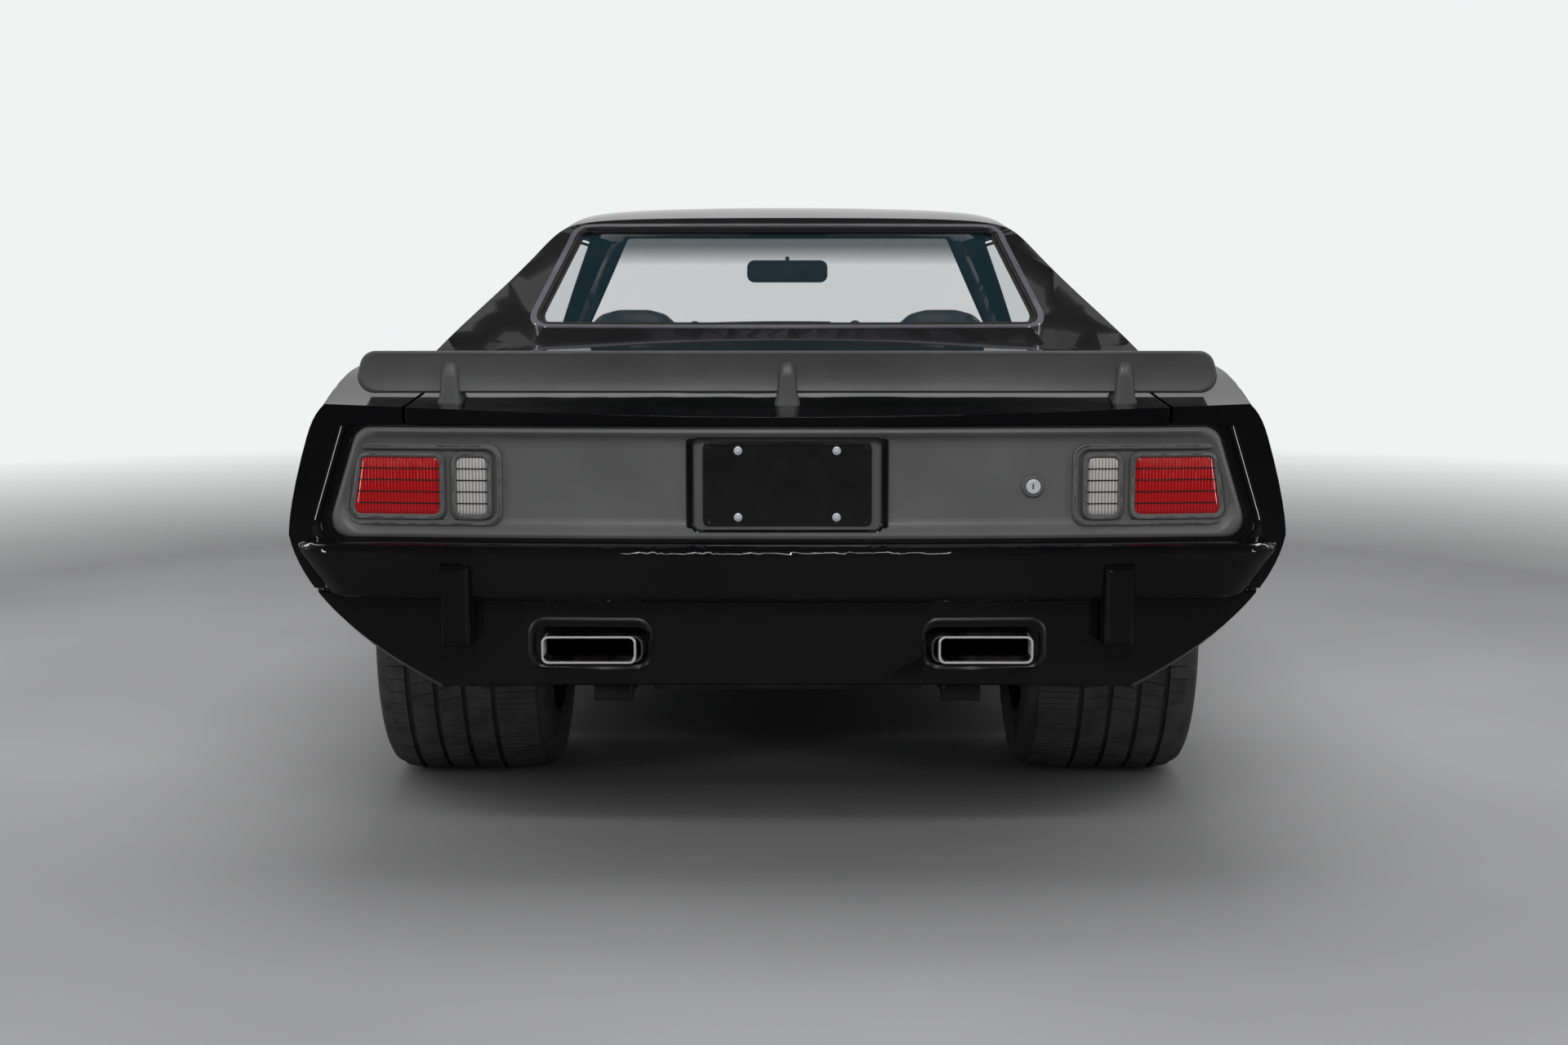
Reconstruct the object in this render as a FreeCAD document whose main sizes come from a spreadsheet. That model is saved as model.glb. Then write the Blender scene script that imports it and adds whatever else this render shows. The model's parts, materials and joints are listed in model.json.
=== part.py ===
import FreeCAD, Part
import math
import os
import Sketcher
from FreeCAD import Placement, Rotation, Vector

# Two-door muscle car. Nose toward -Y, the car's left side toward +X, wheels standing on z = 0.
# The skin is cut from one lofted body and one lofted roof, so that neighbouring panels share a surface.

os.makedirs("parts", exist_ok=True)
doc = FreeCAD.newDocument("muscle_car")
sheet = doc.addObject("Spreadsheet::Sheet", "Sizes")
sheet.Label = "sizes"

# Driving dimensions in millimetres
SIZES = (
    # whole car
    ("overall_length", 4742), ("overall_width", 1902), ("overall_height", 1283),
    ("wheelbase", 2743), ("front_overhang", 927),
    # sheet thicknesses and clearances
    ("panel_wall", 28), ("roof_wall", 38), ("glass_wall", 6), ("glass_inset", 5), ("glass_gap", 0.5),
    ("panel_gap", 7), ("window_gap", 8), ("seat_gap", 0.3), ("overrun", 60),
    # ends of the body, set back from the bumpers
    ("nose_inset", 45), ("nose_sweep", 140), ("tail_inset", 62), ("tail_sweep", 75),
    ("dish_depth", 20), ("dish_wall", 22),
    # doors
    ("door_edge_behind_axle", 704), ("door_length", 1228), ("door_base", 262), ("door_inner_low", 790),
    ("door_inner_high", 742), ("hinge_inset", 1.5), ("jamb_height", 200), ("jamb_base", 400),
    ("jamb_reach", 40), ("jamb_wall", 30),
    # hood, trunk lid and the panels beside them
    ("hood_edge_before_door", 215), ("hood_front_half", 640), ("hood_rear_half", 738),
    ("header_depth", 49), ("header_gap", 10), ("nose_depth", 60), ("stop_width", 36), ("stop_depth", 40),
    ("lid_hinge_y", 1243), ("lid_front_half", 631), ("lid_rear_half", 695), ("lid_base", 853),
    ("cabin_half", 745), ("cabin_front", 500), ("cabin_rear", 1010), ("belt_drop", 130),
    # rear wing
    ("wing_half", 797), ("wing_chord", 176), ("wing_nose", 928), ("wing_crest", 983), ("wing_low", 905),
    ("wing_crown", 16), ("wing_slant", 10), ("wing_corner", 45), ("wing_tail_inset", 95),
    ("wing_end_corner", 30),
    ("wing_post_width", 28), ("wing_post_foot", 62), ("wing_post_spacing", 615), ("wing_post_inset", 30),
    ("wing_post_proud", 20), ("wing_post_drop", 24),
    # tail
    ("dish_top", 850), ("dish_bottom", 645), ("dish_top_half", 778), ("dish_bottom_half", 843),
    ("lamp_top", 793), ("lamp_bottom", 689), ("red_outer_top", 769), ("red_outer_bottom", 787),
    ("red_inner", 626), ("white_outer", 596), ("white_inner", 538), ("lamp_depth", 14),
    ("bezel_margin", 20), ("bezel_depth", 12),
    ("plate_width", 304.8), ("plate_height", 152.4), ("plate_base", 669), ("plate_thickness", 2),
    ("plate_recess_width", 345), ("plate_recess_height", 172),
    ("plate_hole_spacing_x", 177.8), ("plate_hole_spacing_z", 120.65), ("plate_hole_diameter", 6.4),
    ("plate_hole_depth", 20),
    # bumpers and valances
    ("rear_bumper_base", 539), ("rear_bumper_top", 642), ("rear_bumper_half", 912),
    ("rear_bumper_wrap", 260), ("bumper_depth", 52), ("bumper_corner", 110), ("bumper_sweep", 60),
    ("bumper_edge", 16), ("bumper_lean", 14), ("rear_bumper_tuck", 65), ("front_bumper_tuck", 30),
    ("front_bumper_base", 462), ("front_bumper_top", 556), ("front_bumper_half", 892),
    ("front_bumper_wrap", 240), ("guard_width", 56), ("guard_height", 146), ("guard_base", 461),
    ("guard_spacing", 592), ("guard_proud", 30),
    ("tip_width", 184), ("tip_height", 49), ("tip_base", 424), ("tip_wall", 3), ("tip_length", 260),
    ("tip_spacing", 353), ("tip_clearance", 14), ("valance_top", 545), ("front_valance_top", 455),
    # nose
    ("grille_top", 731), ("grille_bottom", 559), ("grille_half", 772), ("grille_corner", 78),
    ("grille_setback", 46), ("grille_depth", 16), ("grille_bar", 5), ("grille_bars", 8),
    ("divider_width", 46),
    ("headlamp_diameter", 144), ("headlamp_spacing", 640), ("headlamp_height", 645),
    ("headlamp_depth", 60), ("headlamp_ring", 12),
    # wheels
    ("front_tyre_diameter", 656), ("front_tyre_width", 245), ("front_track", 1530),
    ("rear_tyre_diameter", 698), ("rear_tyre_width", 375), ("rear_track", 1384),
    ("rim_diameter", 457), ("rim_flange", 14), ("rim_wall", 9), ("rim_drop", 22), ("flange_clearance", 6),
    ("hub_bore", 66), ("spoke_disc", 22), ("disc_setback", 40),
    ("window_inner", 92), ("window_outer", 196), ("window_spread", 70), ("spokes", 5),
    ("bead_width", 26), ("tyre_shoulder", 34), ("tyre_tread", 24),
    ("arch_radius_front", 372), ("arch_radius_rear", 378), ("wheelhouse_wall", 12),
    ("wheelhouse_front_inner", 455), ("wheelhouse_rear_inner", 480), ("wheelhouse_outer", 872),
    # structure
    ("floor_height", 226), ("floor_wall", 22), ("floor_half", 752), ("sill_height", 255),
    ("sill_width", 64), ("tunnel_width", 260), ("tunnel_height", 190), ("firewall_behind_hood", 60),
    ("step_y", 960), ("step_height", 520), ("trunk_floor_half", 505), ("trunk_side_half", 740),
    ("house_rise", 175),
    ("rail_width", 60), ("rail_height", 90), ("rail_half", 330), ("rail_base", 300),
    ("lift_pad", 100), ("lift_drop", 14), ("lift_spacing", 600), ("lift_front", 550), ("lift_rear", 800),
    # engine, fuel and exhaust
    ("engine_width", 520), ("engine_length", 660), ("engine_height", 500), ("engine_base", 262),
    ("engine_before_axle", 190), ("gearbox_length", 740), ("gearbox_width", 200), ("gearbox_height", 190),
    ("gearbox_base", 160),
    ("shaft_diameter", 76), ("axle_tube", 84), ("diff_diameter", 250), ("diff_width", 230),
    ("diff_taper", 165),
    ("tank_width", 520), ("tank_length", 370), ("tank_height", 200), ("tank_behind_axle", 360),
    ("pipe_diameter", 64),
    ("muffler_width", 200), ("muffler_length", 420), ("muffler_height", 84), ("muffler_front", 180),
    ("pipe_half", 430), ("pipe_low", 180), ("pipe_bend", 110), ("pipe_over_axle", 446),
    # springs and front suspension
    ("spring_width", 62), ("spring_thickness", 22), ("spring_half", 339), ("spring_front", 560),
    ("spring_rear", 690), ("spring_eye", 36), ("spring_front_z", 180), ("spring_rear_z", 306),
    ("spring_middle_z", 240), ("arm_width", 90), ("arm_thickness", 34),
    ("arm_inner", 392), ("tower_width", 45), ("rail_pad", 40), ("kingpin", 738), ("lower_joint", 200),
    ("upper_joint", 460),
    ("knuckle_width", 44), ("knuckle_depth", 110), ("brake_diameter", 320),
    ("brake_width", 18), ("flange_diameter", 150), ("flange_width", 16),
    ("crossmember_depth", 150), ("crossmember_height", 90), ("crossmember_base", 155),
    # cabin
    ("dash_height", 850), ("dash_base", 660), ("dash_front", 610), ("dash_depth", 230), ("dash_tray", 30),
    ("dash_half", 700), ("column_diameter", 46), ("wheel_ring_diameter", 370), ("wheel_rim_wall", 26),
    ("driver_offset", 400), ("column_length", 250), ("column_tilt", 24), ("steering_y", 215),
    ("steering_z", 770), ("wheel_spoke", 30),
    ("seat_width", 500), ("seat_front", 130), ("seat_depth", 520), ("seat_cushion_top", 470),
    ("seat_back_thickness", 120), ("seat_top", 1035), ("seat_lean", 170), ("seat_offset", 400),
    ("bench_width", 930), ("bench_front", 540), ("bench_cushion_top", 455), ("bench_back", 110),
    ("bench_top", 895), ("bench_lean", 150), ("mirror_width", 240), ("mirror_height", 66),
    ("mirror_thickness", 26), ("mirror_base", 1075), ("mirror_y", 360), ("mirror_stem", 12),
)
for row, (alias, value) in enumerate(SIZES, start=1):
    sheet.set("A%d" % row, alias)
    sheet.set("B%d" % row, str(value))
    sheet.setAlias("B%d" % row, alias)
doc.recompute()


def size(alias):
    """A driving dimension, read from the sheet."""
    return float(sheet.get(alias))


HALF_LENGTH = size("overall_length") / 2
HALF_WIDTH = size("overall_width") / 2
HEIGHT = size("overall_height")
OVERRUN = size("overrun")
WALL = size("panel_wall")
GAP = size("panel_gap")
SEAT_GAP = size("seat_gap")
FRONT_AXLE = size("front_overhang") - HALF_LENGTH
REAR_AXLE = FRONT_AXLE + size("wheelbase")

# Curves of the body along its length: share of half length, then share of half width or of height
CREASE_X_SHARES = ((-1.03, 0.88), (-0.90, 0.942), (-0.70, 0.979), (-0.40, 0.987), (0.05, 0.983),
                   (0.35, 0.995), (0.55, 1.0), (0.75, 0.993), (0.90, 0.968), (1.03, 0.922))
CREASE_Z_SHARES = ((-1.03, 0.457), (-0.80, 0.477), (-0.40, 0.495), (0.10, 0.503), (0.55, 0.507),
                   (1.03, 0.506))
SHOULDER_X_SHARES = ((-1.03, 0.735), (-0.92, 0.800), (-0.70, 0.848), (-0.35, 0.862), (0.05, 0.872),
                     (0.55, 0.894), (0.80, 0.901), (1.03, 0.866))
SHOULDER_Z_SHARES = ((-1.03, 0.553), (-0.97, 0.577), (-0.80, 0.638), (-0.61, 0.672), (-0.36, 0.688),
                     (0.05, 0.695), (0.22, 0.703), (0.45, 0.724), (0.65, 0.733), (0.75, 0.730),
                     (0.885, 0.707), (0.95, 0.690), (1.03, 0.676))
TOP_Z_SHARES = ((-1.03, 0.572), (-0.97, 0.598), (-0.80, 0.659), (-0.61, 0.697), (-0.36, 0.722),
                (0.05, 0.733), (0.30, 0.746), (0.47, 0.757), (0.55, 0.750), (0.75, 0.720),
                (0.885, 0.694), (1.03, 0.684))
SILL_X_SHARES = ((-1.03, 0.66), (-0.90, 0.80), (-0.70, 0.880), (-0.40, 0.894), (0.45, 0.892),
                 (0.65, 0.857), (0.80, 0.780), (0.90, 0.700), (1.03, 0.650))
SILL_Z_SHARES = ((-1.03, 0.260), (-0.90, 0.205), (-0.70, 0.177), (-0.40, 0.168), (0.20, 0.169),
                 (0.45, 0.177), (0.65, 0.204), (0.80, 0.250), (0.90, 0.276), (1.03, 0.287))
TUCK_SHARES = ((-1.03, 0.60), (-0.80, 0.70), (0.05, 0.74), (0.65, 0.72), (0.90, 0.70), (1.03, 0.69))
# Curve of the flank from the crease up to the shoulder: share inward, share upward
FLANK_SHARES = ((0.16, 0.33), (0.46, 0.68), (0.70, 0.88))
STATION_END_SHARE = 1.03
STATIONS = 23

# Curves of the cabin: belt and roof-edge half width, roof height
BELT_X_SHARES = ((-0.45, 0.735), (-0.24, 0.757), (0.0, 0.831), (0.25, 0.862), (0.42, 0.908),
                 (0.52, 0.915), (0.62, 0.915))
ROOF_X_SHARES = ((-0.45, 0.50), (-0.24, 0.535), (-0.055, 0.560), (0.063, 0.588), (0.25, 0.610),
                 (0.42, 0.662), (0.62, 0.700))
ROOF_Z_SHARES = ((-0.45, 0.925), (-0.24, 0.946), (-0.09, 0.972), (0.02, 0.994), (0.09, 1.0),
                 (0.20, 0.986), (0.27, 0.968), (0.42, 0.945), (0.62, 0.925))
CABIN_BASE_SHARE = 0.670
CABIN_START_SHARE = -0.45
CABIN_END_SHARE = 0.62
CABIN_STATIONS = 11
# Half arch of the cabin: share from belt to roof edge, or of the roof edge, then share of the height
ARCH_SIDE_SHARES = ((0.0, 0.0), (0.42, 0.40), (0.80, 0.75), (1.0, 0.905))
ARCH_TOP_SHARES = ((0.86, 0.965), (0.50, 0.992))

# Windshield and rear glass planes: centre y and bow, low and high, as shares of half length
SCREEN_LOW_Z_SHARE = 0.670
SCREEN_HIGH_Z_SHARE = 1.030
SCREEN_FRONT_SHARES = ((-0.426, 0.284), (-0.015, 0.084))
SCREEN_REAR_SHARES = ((0.578, -0.080), (0.190, -0.080))
# The screens lean, so a wall set in square to them moves down by more than its thickness
SCREEN_DROP_SHARE = 1.1


def along(shares, share):
    """Smooth monotone curve through hand-picked pairs, read at one share of the half length."""
    places = [pair[0] for pair in shares]
    values = [pair[1] for pair in shares]
    last = len(shares) - 1
    if share <= places[0]:
        return values[0]
    if share >= places[last]:
        return values[last]
    slopes = [(values[i + 1] - values[i]) / (places[i + 1] - places[i]) for i in range(last)]
    tangents = [slopes[0]]
    for i in range(1, last):
        same_way = slopes[i - 1] * slopes[i] > 0
        tangents.append(2 * slopes[i - 1] * slopes[i] / (slopes[i - 1] + slopes[i]) if same_way else 0)
    tangents.append(slopes[last - 1])
    i = max(k for k in range(last) if places[k] <= share)
    span = places[i + 1] - places[i]
    t = (share - places[i]) / span
    return ((1 + 2 * t) * (1 - t) ** 2 * values[i] + t * (1 - t) ** 2 * span * tangents[i]
            + t * t * (3 - 2 * t) * values[i + 1] + t * t * (t - 1) * span * tangents[i + 1])


def spline(points):
    """An edge through points, with evenly spaced parameters so that sections match."""
    curve = Part.BSplineCurve()
    last = len(points) - 1
    curve.interpolate(Points=points, Parameters=[i / last for i in range(last + 1)])
    return curve.toShape()


def closed_wire(corners):
    return Part.Wire(Part.makePolygon(corners + [corners[0]]).Edges)


def rounded_wire(corners, radius):
    """Closed outline with every corner rounded by one radius."""
    edges = []
    starts = []
    for i, corner in enumerate(corners):
        before = corners[i - 1] - corner
        after = corners[(i + 1) % len(corners)] - corner
        half_angle = before.getAngle(after) / 2
        reach = radius / math.tan(half_angle)
        first = corner + before.normalize() * reach
        second = corner + after.normalize() * reach
        inward = (before + after).normalize()
        middle = corner + inward * (radius / math.sin(half_angle) - radius)
        starts.append((first, middle, second))
    for i, (first, middle, second) in enumerate(starts):
        edges.append(Part.Arc(first, middle, second).toShape())
        following = starts[(i + 1) % len(starts)][0]
        edges.append(Part.LineSegment(second, following).toShape())
    return Part.Wire(edges)


def prism_x(outline, x_from, x_to, radius=0):
    """Side-view outline of (y, z) pairs, made solid across the car."""
    corners = [Vector(x_from, y, z) for y, z in outline]
    wire = rounded_wire(corners, radius) if radius else closed_wire(corners)
    return Part.Face(wire).extrude(Vector(x_to - x_from, 0, 0))


def prism_y(outline, y_from, y_to, radius=0):
    """Front-view outline of (x, z) pairs, made solid along the car."""
    corners = [Vector(x, y_from, z) for x, z in outline]
    wire = rounded_wire(corners, radius) if radius else closed_wire(corners)
    return Part.Face(wire).extrude(Vector(0, y_to - y_from, 0))


def prism_z(outline, z_from, z_to, radius=0):
    """Plan-view outline of (x, y) pairs, made solid upward."""
    corners = [Vector(x, y, z_from) for x, y in outline]
    wire = rounded_wire(corners, radius) if radius else closed_wire(corners)
    return Part.Face(wire).extrude(Vector(0, 0, z_to - z_from))


def slab(x_from, x_to, y_from, y_to, z_from, z_to):
    low = Vector(min(x_from, x_to), min(y_from, y_to), min(z_from, z_to))
    return Part.makeBox(abs(x_to - x_from), abs(y_to - y_from), abs(z_to - z_from), low)


def rod_x(radius, x_from, x_to, y, z):
    return Part.makeCylinder(radius, abs(x_to - x_from), Vector(min(x_from, x_to), y, z), Vector(1, 0, 0))


def rod_y(radius, y_from, y_to, x, z):
    return Part.makeCylinder(radius, abs(y_to - y_from), Vector(x, min(y_from, y_to), z), Vector(0, 1, 0))


def rod_z(radius, z_from, z_to, x, y):
    return Part.makeCylinder(radius, abs(z_to - z_from), Vector(x, y, min(z_from, z_to)), Vector(0, 0, 1))


def mirrored(shape):
    return shape.mirror(Vector(0, 0, 0), Vector(1, 0, 0))


def body_section(y, inset):
    """Closed cross section of the body below the glass, made smaller by a wall thickness."""
    share = y / HALF_LENGTH
    crease_x = along(CREASE_X_SHARES, share) * HALF_WIDTH - inset
    crease_z = along(CREASE_Z_SHARES, share) * HEIGHT
    shoulder_x = along(SHOULDER_X_SHARES, share) * HALF_WIDTH - inset
    shoulder_z = along(SHOULDER_Z_SHARES, share) * HEIGHT - inset
    top_z = along(TOP_Z_SHARES, share) * HEIGHT - inset
    sill_x = along(SILL_X_SHARES, share) * HALF_WIDTH - inset
    sill_z = along(SILL_Z_SHARES, share) * HEIGHT
    tuck = along(TUCK_SHARES, share)
    low = sill_z - (OVERRUN if inset else 0)
    side_low = Vector(sill_x + tuck * (crease_x - sill_x), y, (low + crease_z) / 2)
    lean = crease_x - shoulder_x
    rise = shoulder_z - crease_z
    side_high = [Vector(crease_x - inward * lean, y, crease_z + upward * rise) for inward, upward in FLANK_SHARES]
    right = [Vector(sill_x, y, low), side_low, Vector(crease_x, y, crease_z)]
    upper = [right[2]] + side_high + [Vector(shoulder_x, y, shoulder_z)]
    flip = [Vector(-p.x, p.y, p.z) for p in right]
    flip_upper = [Vector(-p.x, p.y, p.z) for p in upper]
    edges = [spline([flip[0], right[0]]), spline(right), spline(upper),
             spline([upper[-1], Vector(0, y, top_z), flip_upper[-1]]),
             spline(list(reversed(flip_upper))), spline(list(reversed(flip)))]
    return Part.Wire(edges)


def body_loft(inset):
    end = STATION_END_SHARE * HALF_LENGTH
    stations = [end * (2 * i / (STATIONS - 1) - 1) for i in range(STATIONS)]
    return Part.makeLoft([body_section(y, inset) for y in stations], True, False, False, 3)


def plan_outline(nose_y, nose_sweep, tail_y, tail_sweep):
    """Bowed ends seen from above, as one upright solid."""
    side = HALF_WIDTH + OVERRUN
    nose = Part.Arc(Vector(-side, nose_y + nose_sweep, 0), Vector(0, nose_y, 0),
                    Vector(side, nose_y + nose_sweep, 0)).toShape()
    tail = Part.Arc(Vector(side, tail_y - tail_sweep, 0), Vector(0, tail_y, 0),
                    Vector(-side, tail_y - tail_sweep, 0)).toShape()
    left = Part.LineSegment(Vector(side, nose_y + nose_sweep, 0), Vector(side, tail_y - tail_sweep, 0))
    right = Part.LineSegment(Vector(-side, tail_y - tail_sweep, 0), Vector(-side, nose_y + nose_sweep, 0))
    wire = Part.Wire([nose, left.toShape(), tail, right.toShape()])
    return Part.Face(wire).extrude(Vector(0, 0, HEIGHT))


NOSE_Y = size("nose_inset") - HALF_LENGTH
TAIL_Y = HALF_LENGTH - size("tail_inset")
OUTER_BODY = body_loft(0).common(plan_outline(NOSE_Y, size("nose_sweep"), TAIL_Y, size("tail_sweep")))
INNER_PLAN = plan_outline(NOSE_Y + WALL, size("nose_sweep"), TAIL_Y - WALL, size("tail_sweep"))
INNER_BODY = body_loft(WALL).common(INNER_PLAN)


def cabin_section(y, inset):
    share = y / HALF_LENGTH
    belt_x = along(BELT_X_SHARES, share) * HALF_WIDTH - inset
    roof_x = along(ROOF_X_SHARES, share) * HALF_WIDTH - inset
    roof_z = along(ROOF_Z_SHARES, share) * HEIGHT - inset
    base_z = CABIN_BASE_SHARE * HEIGHT
    side = [Vector(belt_x + (roof_x - belt_x) * a, y, base_z + (roof_z - base_z) * b)
            for a, b in ARCH_SIDE_SHARES]
    top = [Vector(roof_x * a, y, base_z + (roof_z - base_z) * b) for a, b in ARCH_TOP_SHARES]
    half = side + top
    arch = half + [Vector(0, y, roof_z)] + [Vector(-p.x, p.y, p.z) for p in reversed(half)]
    return Part.Wire([spline(arch), spline([arch[-1], arch[0]])])


def screen_section(z, front, rear):
    side = HALF_WIDTH
    rows = []
    for centre_share, bow_share in (front, rear):
        centre = centre_share * HALF_LENGTH
        edge = centre + bow_share * HALF_LENGTH
        rows.append([Vector(-side, edge, z), Vector(0, centre, z), Vector(side, edge, z)])
    nose, tail = rows
    return Part.Wire([spline(nose), spline([nose[2], tail[2]]), spline(list(reversed(tail))),
                      spline([tail[0], nose[0]])])


def cabin_solid(inset):
    """Roof, pillars and glass as one closed form, made smaller by a wall thickness."""
    first = CABIN_START_SHARE * HALF_LENGTH
    last = CABIN_END_SHARE * HALF_LENGTH
    stations = [first + (last - first) * i / (CABIN_STATIONS - 1) for i in range(CABIN_STATIONS)]
    arch = Part.makeLoft([cabin_section(y, inset) for y in stations], True, False, False, 3)
    low = screen_section(SCREEN_LOW_Z_SHARE * HEIGHT, SCREEN_FRONT_SHARES[0], SCREEN_REAR_SHARES[0])
    high = screen_section(SCREEN_HIGH_Z_SHARE * HEIGHT, SCREEN_FRONT_SHARES[1], SCREEN_REAR_SHARES[1])
    screens = Part.makeLoft([low, high], True, True)
    screens.translate(Vector(0, 0, -SCREEN_DROP_SHARE * inset))
    return arch.common(screens)


def place(name, shape):
    """Store a finished shape as one sub-part."""
    part = doc.addObject("Part::Feature", name)
    part.Label = name
    part.Shape = shape
    part.Placement = Placement()
    nodes.append(part)
    return part


nodes = []


# Cutting tools shared by neighbouring panels
HINGE_Y = FRONT_AXLE + size("door_edge_behind_axle")
HINGE_X = along(CREASE_X_SHARES, HINGE_Y / HALF_LENGTH) * HALF_WIDTH - size("hinge_inset")
DOOR_LENGTH = size("door_length")
HOOD_HINGE_Y = HINGE_Y - size("hood_edge_before_door")
HOOD_HINGE_Z = along(TOP_Z_SHARES, HOOD_HINGE_Y / HALF_LENGTH) * HEIGHT
LID_HINGE_Y = size("lid_hinge_y")
LID_HINGE_Z = along(TOP_Z_SHARES, LID_HINGE_Y / HALF_LENGTH) * HEIGHT
SIDE = HALF_WIDTH + OVERRUN
LENGTH_END = HALF_LENGTH + OVERRUN
BODY_SHELL = OUTER_BODY.cut(INNER_BODY)
CABIN_OUTER = cabin_solid(0)
CABIN_INNER = cabin_solid(size("roof_wall"))


def door_tool(extra):
    """Upright cylinder about the hinge line, cut off at the hinge, so that the rear edge clears."""
    height = HEIGHT
    swing = rod_z(DOOR_LENGTH + extra, size("door_base") - extra, height, HINGE_X, HINGE_Y)
    window = slab(size("cabin_half") - OVERRUN, SIDE, HINGE_Y - extra, LENGTH_END, 0, height)
    return swing.common(window)


def cabin_cavity(grow):
    """Room between the door trims, leaning in toward the belt."""
    low = size("door_inner_low") + grow
    high = size("door_inner_high") + grow
    belt = HEIGHT - size("belt_drop")
    base = size("door_base")
    outline = [(-low, 0), (low, 0), (low, base + low / 2), (high, belt), (-high, belt), (-low, base + low / 2)]
    return prism_y(outline, HINGE_Y - OVERRUN, size("cabin_rear"))


def hood_tool(extra):
    front = size("hood_front_half") + extra
    rear = size("hood_rear_half") + extra
    outline = [(-front, -LENGTH_END), (front, -LENGTH_END), (rear, HOOD_HINGE_Y + extra),
               (-rear, HOOD_HINGE_Y + extra)]
    plan = prism_z(outline, size("grille_top"), HEIGHT)
    front_gap = size("header_gap") if extra else 0
    return plan.common(plan_outline(NOSE_Y + size("header_depth") - front_gap, size("nose_sweep"), TAIL_Y,
                                    size("tail_sweep")))


def lid_tool(extra):
    front = size("lid_front_half") + extra
    rear = size("lid_rear_half") + extra
    outline = [(-front, LID_HINGE_Y - extra), (front, LID_HINGE_Y - extra), (rear, LENGTH_END),
               (-rear, LENGTH_END)]
    return prism_z(outline, size("lid_base") - extra, HEIGHT)


def dish_outline(extra):
    top = size("dish_top_half") + extra
    bottom = size("dish_bottom_half") + extra
    return [(-bottom, size("dish_bottom") - extra), (bottom, size("dish_bottom") - extra),
            (top, size("dish_top") + extra), (-top, size("dish_top") + extra)]


def arch_cut(front):
    radius = size("arch_radius_front") if front else size("arch_radius_rear")
    axle = FRONT_AXLE if front else REAR_AXLE
    centre = size("front_tyre_diameter" if front else "rear_tyre_diameter") / 2
    return rod_x(radius, 0, SIDE, axle, centre)


CABIN_WELL = slab(-size("cabin_half"), size("cabin_half"), -size("cabin_front"), size("cabin_rear"),
                  size("dash_base"), HEIGHT)
DISH_CUT = prism_y(dish_outline(0), REAR_AXLE, LENGTH_END, size("dish_wall"))
NOSE_CUT_OUTLINE = [(-size("grille_half"), size("grille_bottom")), (size("grille_half"), size("grille_bottom")),
                    (size("grille_half"), size("grille_top")), (-size("grille_half"), size("grille_top"))]
NOSE_CUT = prism_y(NOSE_CUT_OUTLINE, -LENGTH_END, FRONT_AXLE, size("grille_corner"))


# Skin panels
def nose_tool(extra):
    """The front end as deep as the nose panel, following the bow of the nose."""
    behind = plan_outline(NOSE_Y + size("nose_depth") + extra, size("nose_sweep"), TAIL_Y, size("tail_sweep"))
    return slab(-SIDE, SIDE, -LENGTH_END, FRONT_AXLE, 0, HEIGHT).cut(behind)


def make_fender():
    shell = BODY_SHELL.common(slab(0, SIDE, -LENGTH_END, HINGE_Y - GAP, 0, HEIGHT))
    inboard = slab(0, size("hood_front_half"), -LENGTH_END, HINGE_Y, 0, HEIGHT)
    low_nose = slab(0, SIDE, -LENGTH_END, FRONT_AXLE - size("arch_radius_front") - OVERRUN, 0,
                    size("front_bumper_base"))
    cowl = slab(0, size("hood_rear_half") + SEAT_GAP, HOOD_HINGE_Y, HINGE_Y, size("dash_base"), HEIGHT)
    return shell.cut([hood_tool(GAP), nose_tool(SEAT_GAP), inboard, low_nose, cowl, arch_cut(True)])


def largest(shape):
    """The main piece, where trimming leaves slivers beside it."""
    return max(shape.Solids, key=lambda solid: solid.Volume)


fender = largest(make_fender())
place("fender_left", fender)
place("fender_right", mirrored(fender))

rest_plan = plan_outline(NOSE_Y + WALL, size("nose_sweep"), TAIL_Y, size("tail_sweep"))
REST_BODY = body_loft(WALL + SEAT_GAP).common(rest_plan)


def make_nose():
    """Painted ring round the grille opening, with two rests for the front edge of the hood."""
    ring = BODY_SHELL.common(nose_tool(0)).cut(slab(-SIDE, SIDE, -LENGTH_END, LENGTH_END, 0,
                                                    size("front_bumper_base")))
    ring = ring.cut([hood_tool(GAP), NOSE_CUT])
    rests = []
    reach = nose_tool(size("stop_depth")).cut(slab(-SIDE, SIDE, -LENGTH_END, LENGTH_END, 0,
                                                   size("grille_top") + SEAT_GAP))
    for x in (-size("hood_front_half") / 2, size("hood_front_half") / 2):
        half = size("stop_width") / 2
        rests.append(REST_BODY.common(reach).common(slab(x - half, x + half, -LENGTH_END, FRONT_AXLE, 0,
                                                         HEIGHT)))
    return ring.fuse(rests)


place("nose_panel", largest(make_nose()))

hood = largest(BODY_SHELL.common(hood_tool(0)))
place("hood", hood)

cowl_box = slab(-size("hood_rear_half"), size("hood_rear_half"), HOOD_HINGE_Y + GAP, -size("cabin_front"),
                size("dash_base"), HEIGHT)
place("cowl", largest(BODY_SHELL.common(cowl_box)))


def make_door():
    solid = OUTER_BODY.common(door_tool(0)).cut(cabin_cavity(0))
    return largest(solid)


door = make_door()
place("door_left", door)
place("door_right", mirrored(door))


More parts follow.
